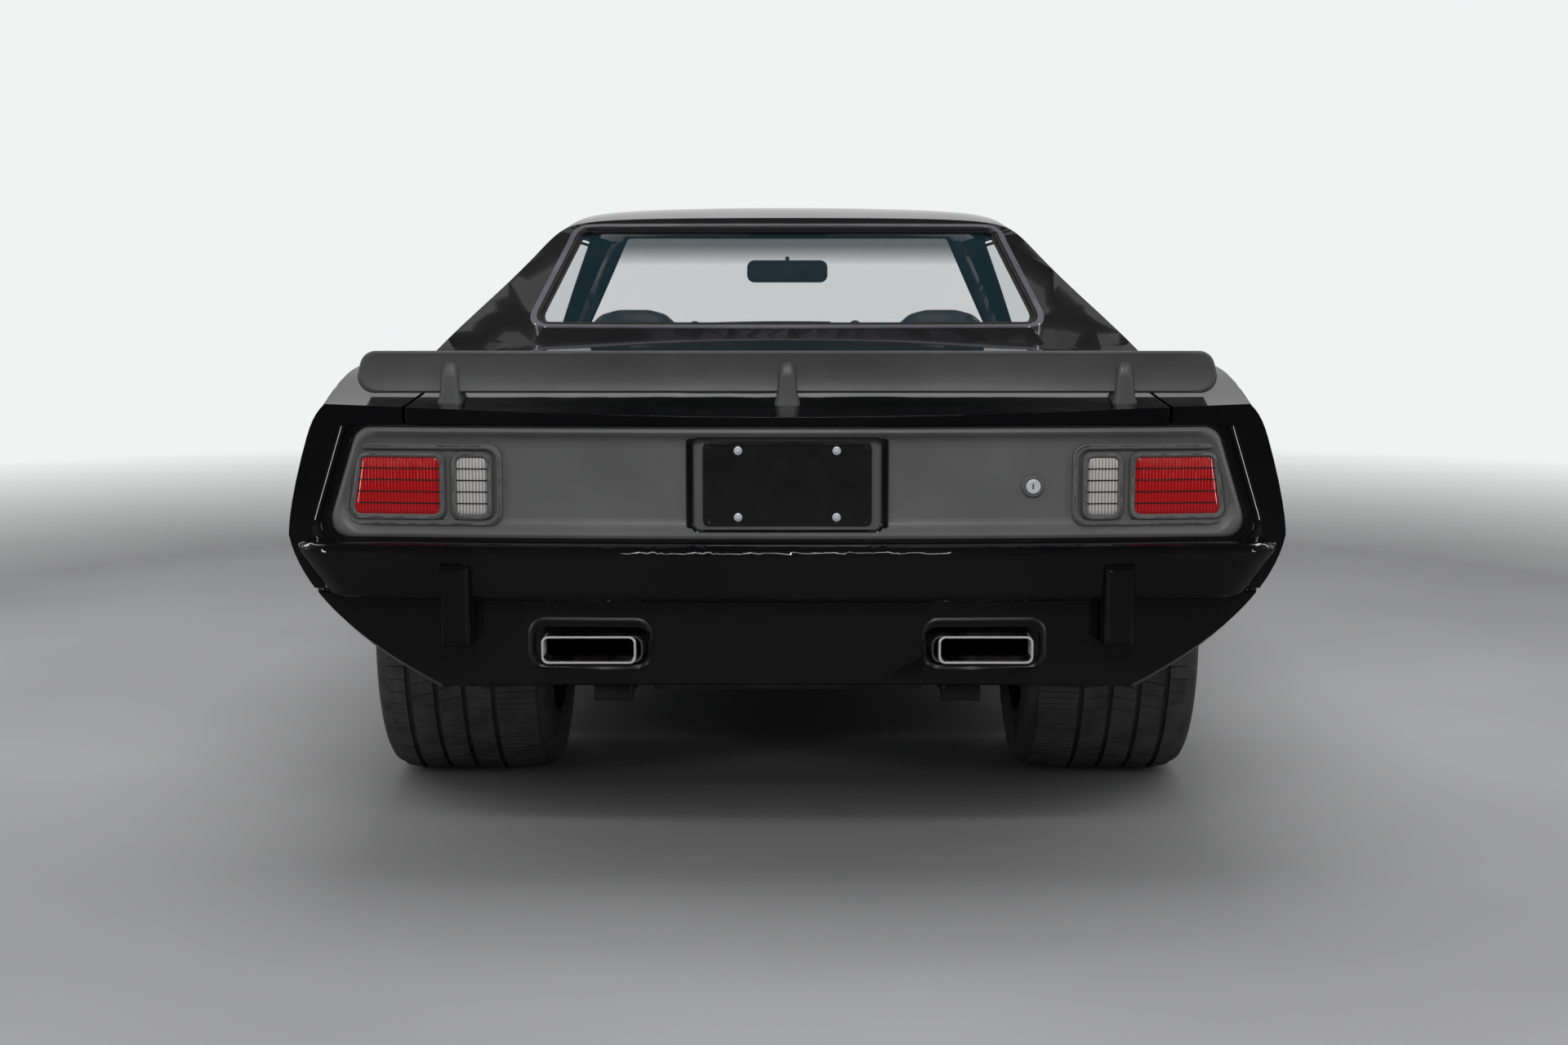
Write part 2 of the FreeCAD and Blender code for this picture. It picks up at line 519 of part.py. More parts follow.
def make_quarter():
    front = slab(0, SIDE, HINGE_Y, REAR_AXLE - size("arch_radius_rear"), 0, HEIGHT)
    rear = slab(0, SIDE, REAR_AXLE - size("arch_radius_rear"), LENGTH_END, 0, HEIGHT)
    thick = OUTER_BODY.common(front).cut([cabin_cavity(0), slab(0, SIDE, HINGE_Y, LENGTH_END, 0,
                                                                 size("sill_height") + SEAT_GAP)])
    thin = BODY_SHELL.common(rear)
    inner = size("door_inner_low")
    rear_edge = HINGE_Y + DOOR_LENGTH + GAP
    jamb_top = size("jamb_base") + size("jamb_height")
    jamb = slab(inner - size("jamb_wall"), inner + GAP, rear_edge, rear_edge + size("jamb_reach"),
                size("jamb_base"), jamb_top)
    lip = slab(inner - size("jamb_wall"), inner - SEAT_GAP, rear_edge - size("jamb_reach"),
               rear_edge + size("jamb_reach"), size("jamb_base"), jamb_top)
    whole = thick.fuse(thin)
    deck = slab(0, size("lid_front_half") + SEAT_GAP, HINGE_Y, LID_HINGE_Y, size("step_height"), HEIGHT)
    low_tail = slab(0, SIDE, REAR_AXLE + size("arch_radius_rear") + size("rear_bumper_wrap"), LENGTH_END, 0,
                    size("valance_top") + GAP)
    panel = whole.cut([door_tool(GAP), deck, lid_tool(GAP), DISH_CUT, arch_cut(False), CABIN_WELL, low_tail])
    return largest(largest(panel).fuse([jamb, lip]))


quarter = make_quarter()
place("quarter_left", quarter)
place("quarter_right", mirrored(quarter))

deck_box = slab(-size("lid_front_half"), size("lid_front_half"), size("cabin_rear"), LID_HINGE_Y - GAP,
                size("dash_base"), HEIGHT)
place("deck_panel", largest(BODY_SHELL.common(deck_box)))

lid = largest(BODY_SHELL.common(lid_tool(0)))
place("trunk_lid", lid)

# Roof with pillars, standing on the body
SIDE_WINDOW_SHARES = ((-0.215, 0.685), (-0.034, 0.930), (0.095, 0.944), (0.195, 0.939), (0.248, 0.908),
                      (0.305, 0.685))
SIDE_WINDOW = [(y * HALF_LENGTH, z * HEIGHT) for y, z in SIDE_WINDOW_SHARES]
SCREEN_WINDOW_SHARES = ((0.690, 0.680), (0.492, 0.942))
REAR_WINDOW_SHARES = ((0.623, 0.775), (0.546, 0.945))


def screen_outline(shares, shrink):
    (low_x, low_z), (high_x, high_z) = shares
    low_half = low_x * HALF_WIDTH - shrink
    high_half = high_x * HALF_WIDTH - shrink
    top = high_z * HEIGHT - shrink
    base = low_z * HEIGHT
    return [(-low_half, base), (low_half, base), (high_half, top), (-high_half, top)]


def screen_prism(shares, shrink, y_from, y_to):
    return prism_y(screen_outline(shares, shrink), y_from, y_to, size("bezel_margin"))


SIDE_OPENING = prism_x(SIDE_WINDOW, 0, SIDE, size("bezel_margin"))
FRONT_OPENING = screen_prism(SCREEN_WINDOW_SHARES, 0, -HALF_LENGTH, 0)
REAR_OPENING = screen_prism(REAR_WINDOW_SHARES, 0, DOOR_LENGTH + HINGE_Y, HALF_LENGTH)
roof_shell = CABIN_OUTER.cut([CABIN_INNER, OUTER_BODY])
roof = largest(roof_shell.cut([SIDE_OPENING, mirrored(SIDE_OPENING), FRONT_OPENING, REAR_OPENING]))
place("roof", roof)

glass_outer = cabin_solid(size("glass_inset"))
glass_inner = cabin_solid(size("glass_inset") + size("glass_wall"))
GLASS_SHEET = glass_outer.cut([glass_inner, OUTER_BODY])
glass_gap = size("glass_gap")
front_glass = GLASS_SHEET.common(screen_prism(SCREEN_WINDOW_SHARES, glass_gap, -HALF_LENGTH, 0))
place("windshield", largest(front_glass))
rear_glass = GLASS_SHEET.common(screen_prism(REAR_WINDOW_SHARES, glass_gap, DOOR_LENGTH + HINGE_Y,
                                             HALF_LENGTH))
place("rear_window", largest(rear_glass))


def inset_outline(outline, margin):
    """Corners of an outline of (y, z) pairs, moved inward by an even margin."""
    corners = [Vector(y, z, 0) for y, z in outline]
    middle = Vector(0, 0, 0)
    for corner in corners:
        middle += corner * (1 / len(corners))
    lines = []
    for i, corner in enumerate(corners):
        along_edge = (corners[(i + 1) % len(corners)] - corner).normalize()
        inward = Vector(-along_edge.y, along_edge.x, 0)
        if inward.dot(middle - corner) < 0:
            inward = inward * -1
        lines.append((corner + inward * margin, along_edge))
    moved = []
    for i, (start, direction) in enumerate(lines):
        other_start, other_direction = lines[i - 1]
        cross = other_direction.cross(direction).z
        reach = (start - other_start).cross(direction).z / cross
        meet = other_start + other_direction * reach
        moved.append((meet.x, meet.y))
    return moved


def side_glass(margin, y_from, y_to):
    solid = prism_x(inset_outline(SIDE_WINDOW, margin), 0, SIDE, size("bezel_margin"))
    return largest(GLASS_SHEET.common(solid).common(slab(0, SIDE, y_from, y_to, 0, HEIGHT)))


GLASS_SPLIT = HINGE_Y + DOOR_LENGTH - size("window_gap")
door_glass = side_glass(size("window_gap"), HINGE_Y, GLASS_SPLIT - size("window_gap"))
place("door_glass_left", door_glass)
place("door_glass_right", mirrored(door_glass))
quarter_glass = side_glass(glass_gap, GLASS_SPLIT + size("window_gap"), HALF_LENGTH)
place("quarter_windows", Part.Compound([quarter_glass, mirrored(quarter_glass)]))


# Tail: dished panel, lamps, plate and wing
def tail_band(depth, thickness, tool):
    """A plate that follows the bow of the tail, set in by a depth, cut to an outline."""
    outer = plan_outline(NOSE_Y, size("nose_sweep"), TAIL_Y - depth, size("tail_sweep"))
    inner = plan_outline(NOSE_Y, size("nose_sweep"), TAIL_Y - depth - thickness, size("tail_sweep"))
    rear = slab(-SIDE, SIDE, REAR_AXLE, LENGTH_END, 0, HEIGHT)
    return outer.cut(inner).common(rear).common(tool)


def lens_outline(outer_top, outer_bottom, inner, grow):
    top = size("lamp_top") + grow
    bottom = size("lamp_bottom") - grow
    return [(inner - grow, bottom), (outer_bottom + grow, bottom), (outer_top + grow, top),
            (inner - grow, top)]


RED_LENS = (size("red_outer_top"), size("red_outer_bottom"), size("red_inner"))
WHITE_LENS = (size("white_outer"), size("white_outer"), size("white_inner"))
LENS_CORNER = size("lamp_depth")


def lens_tool(lens, grow, radius):
    return prism_y(lens_outline(*lens, grow), REAR_AXLE, LENGTH_END, radius)


DISH = size("dish_depth")
dish_plate = tail_band(DISH, size("dish_wall"), prism_y(dish_outline(-size("glass_gap")), REAR_AXLE, LENGTH_END,
                                                        size("dish_wall")))
recess_half = size("plate_recess_width") / 2
recess_middle = size("plate_base") + size("plate_height") / 2
recess_low = recess_middle - size("plate_recess_height") / 2
recess_high = recess_middle + size("plate_recess_height") / 2
recess_outline = [(-recess_half, recess_low), (recess_half, recess_low), (recess_half, recess_high),
                  (-recess_half, recess_high)]
recess_cut = tail_band(DISH - SEAT_GAP, size("dish_wall") / 2, prism_y(recess_outline, REAR_AXLE, LENGTH_END,
                                                                       size("dish_wall") / 2))
lens_cuts = [lens_tool(lens, size("glass_gap"), LENS_CORNER) for lens in (RED_LENS, WHITE_LENS)]
lens_cuts += [mirrored(cut) for cut in lens_cuts]
PLATE_Y = TAIL_Y - DISH - size("dish_wall") / 2 + SEAT_GAP
PLATE_HOLES = [rod_y(size("plate_hole_diameter") / 2, PLATE_Y - size("plate_hole_depth"), LENGTH_END,
                     across * size("plate_hole_spacing_x") / 2,
                     recess_middle + up * size("plate_hole_spacing_z") / 2)
               for across in (-1, 1) for up in (-1, 1)]
rests = [tail_band(DISH, size("dish_wall"), slab(x - size("stop_width") / 2, x + size("stop_width") / 2,
                                                REAR_AXLE, LENGTH_END, size("dish_top") - OVERRUN / 2,
                                                size("lid_base") - SEAT_GAP))
         for x in (-size("plate_recess_width"), size("plate_recess_width"))]
tail_panel = dish_plate.fuse(rests).cut([recess_cut] + lens_cuts + PLATE_HOLES)
place("tail_panel", largest(tail_panel))

BEZEL_PROUD = size("bezel_depth")


def lamp_set(lens):
    body = tail_band(DISH - size("lamp_depth"), size("lamp_depth") + size("dish_wall"),
                     lens_tool(lens, 0, LENS_CORNER))
    return Part.Compound([largest(body), mirrored(largest(body))])


def lamp_bezels():
    rings = []
    for lens in (RED_LENS, WHITE_LENS):
        margin = size("bezel_margin") if lens is RED_LENS else size("red_inner") - size("white_outer")
        outer = tail_band(DISH - BEZEL_PROUD - SEAT_GAP, BEZEL_PROUD,
                          lens_tool(lens, min(margin, size("bezel_margin")) / 2 + LENS_CORNER / 2,
                                    size("bezel_margin")))
        rings.append(outer)
    both = rings[0].fuse(rings[1]).cut([lens_tool(lens, size("glass_gap"), LENS_CORNER)
                                        for lens in (RED_LENS, WHITE_LENS)])
    solid = largest(both)
    return Part.Compound([solid, mirrored(solid)])


place("tail_lamps", lamp_set(RED_LENS))
place("reverse_lamps", lamp_set(WHITE_LENS))
place("lamp_bezels", lamp_bezels())

plate_half = size("plate_width") / 2
plate = slab(-plate_half, plate_half, PLATE_Y, PLATE_Y + size("plate_thickness"), size("plate_base"),
             size("plate_base") + size("plate_height"))
place("bare_plate", plate.cut(PLATE_HOLES))


def make_wing():
    """A wedge-shaped blade on three posts, low at its nose and upright at its trailing edge."""
    half = size("wing_half")
    tail = TAIL_Y - size("wing_tail_inset")
    front = tail - size("wing_chord")
    middle = (front + tail) / 2
    nose = size("wing_nose")
    crest = size("wing_crest")
    low = size("wing_low")
    slant = size("wing_slant")
    top = [Vector(-half, front, nose), Vector(-half, middle, (nose + crest) / 2 + size("wing_crown") / 4),
           Vector(-half, tail, crest)]
    bottom = [Vector(-half, tail - slant, low), Vector(-half, middle, (nose + low) / 2 - GAP / 2), top[0]]
    edges = [spline(top), Part.LineSegment(top[2], bottom[0]).toShape(), spline(bottom)]
    blade = Part.Face(Part.Wire(edges)).extrude(Vector(2 * half, 0, 0))
    plan = prism_z([(-half, front - OVERRUN), (half, front - OVERRUN), (half, tail), (-half, tail)],
                   0, HEIGHT, size("wing_corner"))
    blade = blade.common(plan)
    face = prism_y([(-half, low), (half, low), (half, crest + size("wing_crown")),
                    (-half, crest + size("wing_crown"))], 0, LENGTH_END, size("wing_end_corner"))
    posts = [wing_post(x, front, tail, crest) for x in (-size("wing_post_spacing"), 0, size("wing_post_spacing"))]
    return blade.common(face).fuse(posts)


def wing_post(x, front, tail, crest):
    """A flared post: broad where it stands on the lid, narrow where it dies into the blade's rear face."""
    rows = []
    for half, start, end, z in (
            (size("wing_post_foot") / 2, front + size("wing_post_inset"), tail + size("wing_post_proud"),
             size("lid_base")),
            (size("wing_post_width") / 2, tail - size("wing_post_inset"), tail + size("wing_post_proud") / 4,
             crest - size("wing_post_drop"))):
        rows.append(closed_wire([Vector(x - half, start, z), Vector(x + half, start, z), Vector(x + half, end, z),
                                 Vector(x - half, end, z)]))
    return largest(Part.makeLoft(rows, True, True).cut(OUTER_BODY))


place("rear_wing", largest(make_wing()))


# Bumpers and valances
def bumper_plan(half, front_y, sweep, end_y, corner_radius, z):
    """Outline seen from above at one height: bowed across the car, with rounded corners."""
    sign = -1 if front_y < 0 else 1
    corner = front_y - sign * sweep
    bow = Part.Arc(Vector(half, corner, z), Vector(0, front_y, z), Vector(-half, corner, z))
    lines = [Part.LineSegment(Vector(-half, corner, z), Vector(-half, end_y, z)),
             Part.LineSegment(Vector(-half, end_y, z), Vector(half, end_y, z)),
             Part.LineSegment(Vector(half, end_y, z), Vector(half, corner, z))]
    wire = Part.Wire([bow.toShape()] + [line.toShape() for line in lines])
    block = Part.Face(wire).extrude(Vector(0, 0, HEIGHT))
    upright = [edge for edge in block.Edges
               if abs(edge.Vertexes[0].Y - edge.Vertexes[-1].Y) < SEAT_GAP
               and abs(edge.Vertexes[0].X - edge.Vertexes[-1].X) < SEAT_GAP
               and abs(edge.Vertexes[0].Y - corner) < SEAT_GAP]
    rounded = block.makeFillet(corner_radius, upright)
    return min(rounded.Faces, key=lambda face: face.CenterOfMass.z).OuterWire


def bumper_solid(half, front_y, sweep, end_y, low, high, tuck):
    """Bumper bar wrapped round the corners, its ends and its face leaning in toward the lower edge."""
    sign = -1 if front_y < 0 else 1

    def block(inset):
        radius = size("bumper_corner") - inset
        middle = front_y - sign * inset
        base = bumper_plan(half - tuck - inset, middle - sign * size("bumper_lean"), sweep, end_y, radius, low)
        brow = bumper_plan(half - inset, middle, sweep, end_y, radius, high)
        return Part.makeLoft([base, brow], True, True)

    outer = block(0)
    rims = [edge for edge in outer.Edges
            if abs(edge.Vertexes[0].Z - edge.Vertexes[-1].Z) < SEAT_GAP
            and abs(edge.CenterOfMass.y - end_y) > SEAT_GAP]
    outer = outer.makeFillet(size("bumper_edge"), rims)
    return outer.cut([block(size("bumper_depth")), OUTER_BODY])


rear_end = TAIL_Y - size("rear_bumper_wrap")
rear_bumper = bumper_solid(size("rear_bumper_half"), HALF_LENGTH, size("bumper_sweep"), rear_end,
                           size("rear_bumper_base"), size("rear_bumper_top"), size("rear_bumper_tuck"))


def guard(x, front_y, base):
    sign = -1 if front_y < 0 else 1
    half = size("guard_width") / 2
    face = front_y + sign * size("guard_proud")
    inner = front_y - sign * size("bumper_depth")
    block = slab(x - half, x + half, inner, face, base, base + size("guard_height"))
    outer_edges = [edge for edge in block.Edges if abs(edge.CenterOfMass.y - face) < SEAT_GAP]
    return block.makeFillet(size("bumper_edge"), outer_edges)


GUARD_FACE = HALF_LENGTH - size("bumper_edge") - size("guard_proud")
guards = [guard(x, GUARD_FACE, size("guard_base")) for x in (-size("guard_spacing"), size("guard_spacing"))]
rear_bumper = largest(rear_bumper).fuse([piece.cut(OUTER_BODY) for piece in guards])
place("rear_bumper", largest(rear_bumper))
front_bumper = bumper_solid(size("front_bumper_half"), -HALF_LENGTH, size("bumper_sweep") + OVERRUN,
                            size("front_bumper_wrap") + NOSE_Y, size("front_bumper_base"),
                            size("front_bumper_top"), size("front_bumper_tuck"))
place("front_bumper", largest(front_bumper))


def tip_box(x, grow, length_extra):
    half = size("tip_width") / 2 + grow
    low = size("tip_base") - grow
    high = size("tip_base") + size("tip_height") + grow
    start = TAIL_Y - size("tip_length") - length_extra
    return prism_y([(x - half, low), (x + half, low), (x + half, high), (x - half, high)], start,
                   TAIL_Y + length_extra, size("tip_height") / 3 + grow / 2)


tip_places = (-size("tip_spacing"), size("tip_spacing"))
valance_front = REAR_AXLE + size("arch_radius_rear") + size("rear_bumper_wrap")
valance = BODY_SHELL.common(slab(-SIDE, SIDE, valance_front, LENGTH_END, 0, size("valance_top")))
valance = valance.cut([tip_box(x, size("tip_clearance"), OVERRUN) for x in tip_places] + guards)
place("rear_valance", largest(valance))

front_low = BODY_SHELL.common(slab(-SIDE, SIDE, -LENGTH_END, FRONT_AXLE - size("arch_radius_front") - OVERRUN,
                                   0, size("front_valance_top")))
air_half = size("headlamp_spacing") / 2
air_low = size("sill_height") + size("rail_height")
air_slot = prism_y([(-air_half, air_low), (air_half, air_low), (air_half, air_low + OVERRUN),
                    (-air_half, air_low + OVERRUN)], -LENGTH_END, FRONT_AXLE - size("arch_radius_front"),
                   OVERRUN / 3)
place("front_valance", largest(front_low.cut(air_slot)))


# Grille and headlamps in the nose opening
def nose_band(setback, thickness, tool):
    outer = plan_outline(NOSE_Y + setback, size("nose_sweep"), TAIL_Y, size("tail_sweep"))
    inner = plan_outline(NOSE_Y + setback + thickness, size("nose_sweep"), TAIL_Y, size("tail_sweep"))
    front = slab(-SIDE, SIDE, -LENGTH_END, FRONT_AXLE, 0, HEIGHT)
    return outer.cut(inner).common(front).common(tool)


def make_grille():
    half = size("grille_half") - size("glass_gap")
    low = size("grille_bottom") + size("glass_gap")
    high = size("grille_top") - size("glass_gap")
    corner = size("grille_corner") - size("glass_gap")
    frame = prism_y([(-half, low), (half, low), (half, high), (-half, high)], -LENGTH_END, FRONT_AXLE, corner)
    rim = size("headlamp_ring")
    hole = prism_y([(-half + rim, low + rim), (half - rim, low + rim), (half - rim, high - rim),
                    (-half + rim, high - rim)], -LENGTH_END, FRONT_AXLE, corner - rim)
    ring = nose_band(WALL, size("grille_depth"), frame.cut(hole))
    bars = []
    count = int(size("grille_bars"))
    step = (high - low) / (count + 1)
    for i in range(count):
        z = low + step * (i + 1)
        bars.append(slab(-half, half, -LENGTH_END, FRONT_AXLE, z - size("grille_bar") / 2,
                         z + size("grille_bar") / 2))
    middle = size("divider_width") / 2
    bars.append(slab(-middle, middle, -LENGTH_END, FRONT_AXLE, low, high))
    lattice = bars[0].fuse(bars[1:]).common(frame)
    bar_band = nose_band(WALL + size("grille_setback") - size("grille_depth"), size("grille_depth"), lattice)
    side_tie = nose_band(WALL, size("grille_setback"), frame.cut(hole))
    whole = ring.fuse([bar_band, side_tie])
    sockets = []
    for x in (-size("headlamp_spacing"), size("headlamp_spacing")):
        radius = size("headlamp_diameter") / 2 + size("headlamp_ring")
        collar = rod_y(radius, -LENGTH_END, FRONT_AXLE, x, size("headlamp_height"))
        whole = whole.cut(collar)
        sockets.append(nose_band(WALL, size("headlamp_depth"),
                                 collar.cut(rod_y(radius - size("headlamp_ring"), -LENGTH_END, FRONT_AXLE, x,
                                                  size("headlamp_height")))))
    return whole.fuse(sockets)


grille = make_grille()
place("grille", largest(grille))


def headlamp(x):
    radius = size("headlamp_diameter") / 2 - size("glass_gap")
    face = NOSE_Y + WALL + size("nose_sweep") * (size("headlamp_spacing") / SIDE) ** 2
    centre = Vector(x, face + size("headlamp_diameter"), size("headlamp_height"))
    drum = rod_y(radius, face, face + size("headlamp_depth"), x, size("headlamp_height"))
    return drum.common(Part.makeSphere(size("headlamp_diameter"), centre))


place("headlamps", Part.Compound([headlamp(-size("headlamp_spacing")), headlamp(size("headlamp_spacing"))]))


# Structure under the skin
FLOOR = size("floor_height")
FLOOR_TOP = FLOOR + size("floor_wall")
SHEET = size("floor_wall")
FIREWALL = HOOD_HINGE_Y + size("firewall_behind_hood")
STEP_Y = size("step_y")
TUNNEL_HALF = size("tunnel_width") / 2
TUNNEL_TOP = FLOOR + size("tunnel_height")


def wheelhouse(front):
    """A half drum over the tyre with its inner wall, open to the road."""
    radius = size("arch_radius_front") if front else size("arch_radius_rear")
    axle = FRONT_AXLE if front else REAR_AXLE
    centre = size("front_tyre_diameter" if front else "rear_tyre_diameter") / 2
    inner = size("wheelhouse_front_inner") if front else size("wheelhouse_rear_inner")
    wall = size("wheelhouse_wall")
    drum = rod_x(radius + wall, inner, size("wheelhouse_outer"), axle, centre)
    room = rod_x(radius, inner + wall, size("wheelhouse_outer"), axle, centre)
    return drum.cut(room).common(slab(0, SIDE, -LENGTH_END, LENGTH_END, centre + size("house_rise"), HEIGHT))


def wheel_rooms(front):
    """The space that the wheels of one axle turn in, kept clear of the structure."""
    radius = size("arch_radius_front") if front else size("arch_radius_rear")
    centre = size("front_tyre_diameter" if front else "rear_tyre_diameter") / 2
    inner = size("wheelhouse_front_inner") if front else size("wheelhouse_rear_inner")
    room = rod_x(radius, inner + size("wheelhouse_wall"), SIDE, FRONT_AXLE if front else REAR_AXLE, centre)
    return [room, mirrored(room)]


TUNNEL_ROOM = slab(-TUNNEL_HALF + SHEET, TUNNEL_HALF - SHEET, FIREWALL - OVERRUN, STEP_Y + OVERRUN, 0,
                   TUNNEL_TOP - SHEET)


def make_floor():
    """Cabin floor with its tunnel, the sills beside it and the pads that a lift takes hold of."""
    half = size("floor_half")
    start = FIREWALL + SHEET
    plates = [slab(-half, half, start, STEP_Y, FLOOR, FLOOR_TOP),
              slab(-TUNNEL_HALF, TUNNEL_HALF, start, STEP_Y, FLOOR, TUNNEL_TOP)]
    half_pad = size("lift_pad") / 2
    for side in (-1, 1):
        plates.append(slab(side * (half - size("sill_width")), side * SIDE, HINGE_Y, REAR_AXLE -
                           size("arch_radius_rear") - GAP, 0, size("sill_height")).common(OUTER_BODY))
        for y in (-size("lift_front"), size("lift_rear")):
            plates.append(slab(side * size("lift_spacing") - half_pad, side * size("lift_spacing") + half_pad,
                               y - half_pad, y + half_pad, FLOOR - size("lift_drop"), FLOOR_TOP))
    whole = plates[0].fuse(plates[1:]).cut([TUNNEL_ROOM] + wheel_rooms(False))
    return largest(whole.cut([fender, mirrored(fender), quarter, mirrored(quarter)]))


def make_front_structure():
    """Firewall, the two rails before it, and the wheelhouses carried on aprons that stand on the rails."""
    half = size("floor_half") - WALL
    rail_top = size("rail_base") + size("rail_height")
    reach = size("arch_radius_front") + size("wheelhouse_wall")
    shelf = size("front_tyre_diameter") / 2 + size("house_rise")
    plates = [slab(-half, half, FIREWALL, FIREWALL + SHEET, FLOOR, size("dash_height"))]
    for side in (-1, 1):
        inner = side * size("rail_half")
        outer = side * (size("rail_half") + size("rail_width"))
        house_side = side * (size("wheelhouse_front_inner") + size("wheelhouse_wall"))
        plates.append(slab(inner, outer, FRONT_AXLE - size("arch_radius_front") - OVERRUN, FIREWALL,
                           size("rail_base"), rail_top))
        plates.append(slab(outer - side * SHEET, outer, FRONT_AXLE - reach, FRONT_AXLE + reach, rail_top,
                           shelf + SHEET))
        plates.append(slab(outer - side * SHEET, house_side, FRONT_AXLE - reach, FRONT_AXLE + reach, shelf,
                           shelf + SHEET))
    house = wheelhouse(True)
    whole = plates[0].fuse(plates[1:] + [house, mirrored(house)])
    return largest(whole.cut([TUNNEL_ROOM, fender, mirrored(fender)] + wheel_rooms(True)))


def make_trunk_floor():
    """The step behind the rear seat, the trunk's floor, and the wheelhouses beside it."""
    half = size("floor_half")
    side_half = size("trunk_side_half")
    trunk_half = size("trunk_floor_half")
    tail = TAIL_Y - size("tail_sweep") - WALL
    step_top = size("step_height")
    plates = [slab(-half, half, STEP_Y, STEP_Y + SHEET, FLOOR, step_top + SHEET),
              slab(-trunk_half, trunk_half, STEP_Y, tail, step_top, step_top + SHEET),
              slab(-side_half, side_half, STEP_Y, tail - size("arch_radius_rear"), step_top, step_top + SHEET)]
    house = wheelhouse(False)
    whole = plates[0].fuse(plates[1:] + [house, mirrored(house)])
    return largest(whole.cut([TUNNEL_ROOM, quarter, mirrored(quarter)] + wheel_rooms(False)))


place("floor_pan", make_floor())
place("front_structure", make_front_structure())
place("trunk_floor", make_trunk_floor())

# Engine, gearbox and tank as plain blocks
ENGINE_FRONT = FRONT_AXLE - size("engine_before_axle")


def bound_box(name, x, y, z, length, width, height):
    """A Part box whose corner and sides follow the sheet."""
    box = doc.addObject("Part::Box", name)
    box.Label = name
    for prop, expression in (("Length", length), ("Width", width), ("Height", height),
                             ("Placement.Base.x", x), ("Placement.Base.y", y), ("Placement.Base.z", z)):
        box.setExpression(prop, expression)
    return box


def bound_fuse(name, pieces):
    fuse = doc.addObject("Part::MultiFuse", name)
    fuse.Label = name
    fuse.Shapes = pieces
    nodes.append(fuse)
    return fuse


AXLE_FORMULA = "(Sizes.front_overhang - Sizes.overall_length / 2)"
engine_block = bound_box("engine_block", "-Sizes.engine_width / 2", AXLE_FORMULA + " - Sizes.engine_before_axle",
                         "Sizes.engine_base", "Sizes.engine_width", "Sizes.engine_length",
                         "Sizes.engine_height")
gearbox_block = bound_box("gearbox_block", "-Sizes.gearbox_width / 2",
                          AXLE_FORMULA + " - Sizes.engine_before_axle + Sizes.engine_length",
                          "Sizes.gearbox_base", "Sizes.gearbox_width", "Sizes.gearbox_length",
                          "Sizes.gearbox_height")
bound_fuse("engine", [engine_block, gearbox_block])

tank = bound_box("fuel_tank", "-Sizes.tank_width / 2",
                 AXLE_FORMULA + " + Sizes.wheelbase + Sizes.tank_behind_axle",
                 "Sizes.step_height - Sizes.tank_height - Sizes.seat_gap", "Sizes.tank_width",
                 "Sizes.tank_length", "Sizes.tank_height")
nodes.append(tank)


# Exhaust: pipes over the axle to two flat tips
AXLE_CLIMB_SHARE = 1.4


def pipe(points, radius, bend):
    """A round pipe along straight runs joined by arcs."""
    edges = []
    start = points[0]
    for before, corner, after in zip(points, points[1:], points[2:]):
        back = before - corner
        ahead = after - corner
        half_angle = back.getAngle(ahead) / 2
        reach = bend / math.tan(half_angle)
        first = corner + back.normalize() * reach
        second = corner + ahead.normalize() * reach
        middle = corner + (back + ahead).normalize() * (bend / math.sin(half_angle) - bend)
        edges.append(Part.LineSegment(start, first).toShape())
        edges.append(Part.Arc(first, middle, second).toShape())
        start = second
    edges.append(Part.LineSegment(start, points[-1]).toShape())
    path = Part.Wire(edges)
    direction = points[1] - points[0]
    ring = Part.Wire(Part.makeCircle(radius, points[0], direction))
    return path.makePipeShell([ring], True, True)


def exhaust_side():
    low = size("pipe_low")
    radius = size("pipe_diameter") / 2
    front = size("muffler_front")
    end = front + size("muffler_length")
    x = size("pipe_half")
    muffler = slab(x - size("muffler_width") / 2, x + size("muffler_width") / 2, front, end,
                   low - size("muffler_height") / 2, low + size("muffler_height") / 2)
    muffler = muffler.makeFillet(size("muffler_height") / 3, [edge for edge in muffler.Edges
                                                              if edge.Length > size("muffler_width") + GAP])
    bend = size("pipe_bend")
    header_x = size("engine_width") / 2 + radius + SEAT_GAP
    port_z = size("engine_base") + radius
    engine_end = ENGINE_FRONT + size("engine_length")
    header = [Vector(header_x, engine_end - 3 * bend, port_z), Vector(header_x, engine_end - 2 * bend, port_z),
              Vector(header_x, engine_end - bend / 2, low), Vector(x, FIREWALL + 2 * bend, low),
              Vector(x, front + GAP, low)]
    over = size("pipe_over_axle")
    tail = TAIL_Y - size("tip_length")
    tip_z = size("tip_base") + size("tip_height") / 2
    back = [Vector(x, end - GAP, low), Vector(x, STEP_Y + OVERRUN, low),
            Vector(x, REAR_AXLE - bend * AXLE_CLIMB_SHARE, over), Vector(x, REAR_AXLE + 2 * bend, over), Vector(size("tip_spacing"), tail - bend, tip_z),
            Vector(size("tip_spacing"), tail + GAP, tip_z)]
    tip = tip_box(size("tip_spacing"), 0, 0)
    hollow = tip_box(size("tip_spacing"), -size("tip_wall"), OVERRUN)
    hollow = hollow.common(slab(0, SIDE, tail + OVERRUN, LENGTH_END, 0, HEIGHT))
    return muffler.fuse([pipe(header, radius, bend), pipe(back, radius, bend), tip.cut(hollow)])


exhaust_left = exhaust_side()
place("exhaust", Part.Compound([exhaust_left, mirrored(exhaust_left)]))


# Rear axle with its propeller shaft, and leaf springs
REAR_CENTRE = size("rear_tyre_diameter") / 2
FRONT_CENTRE = size("front_tyre_diameter") / 2


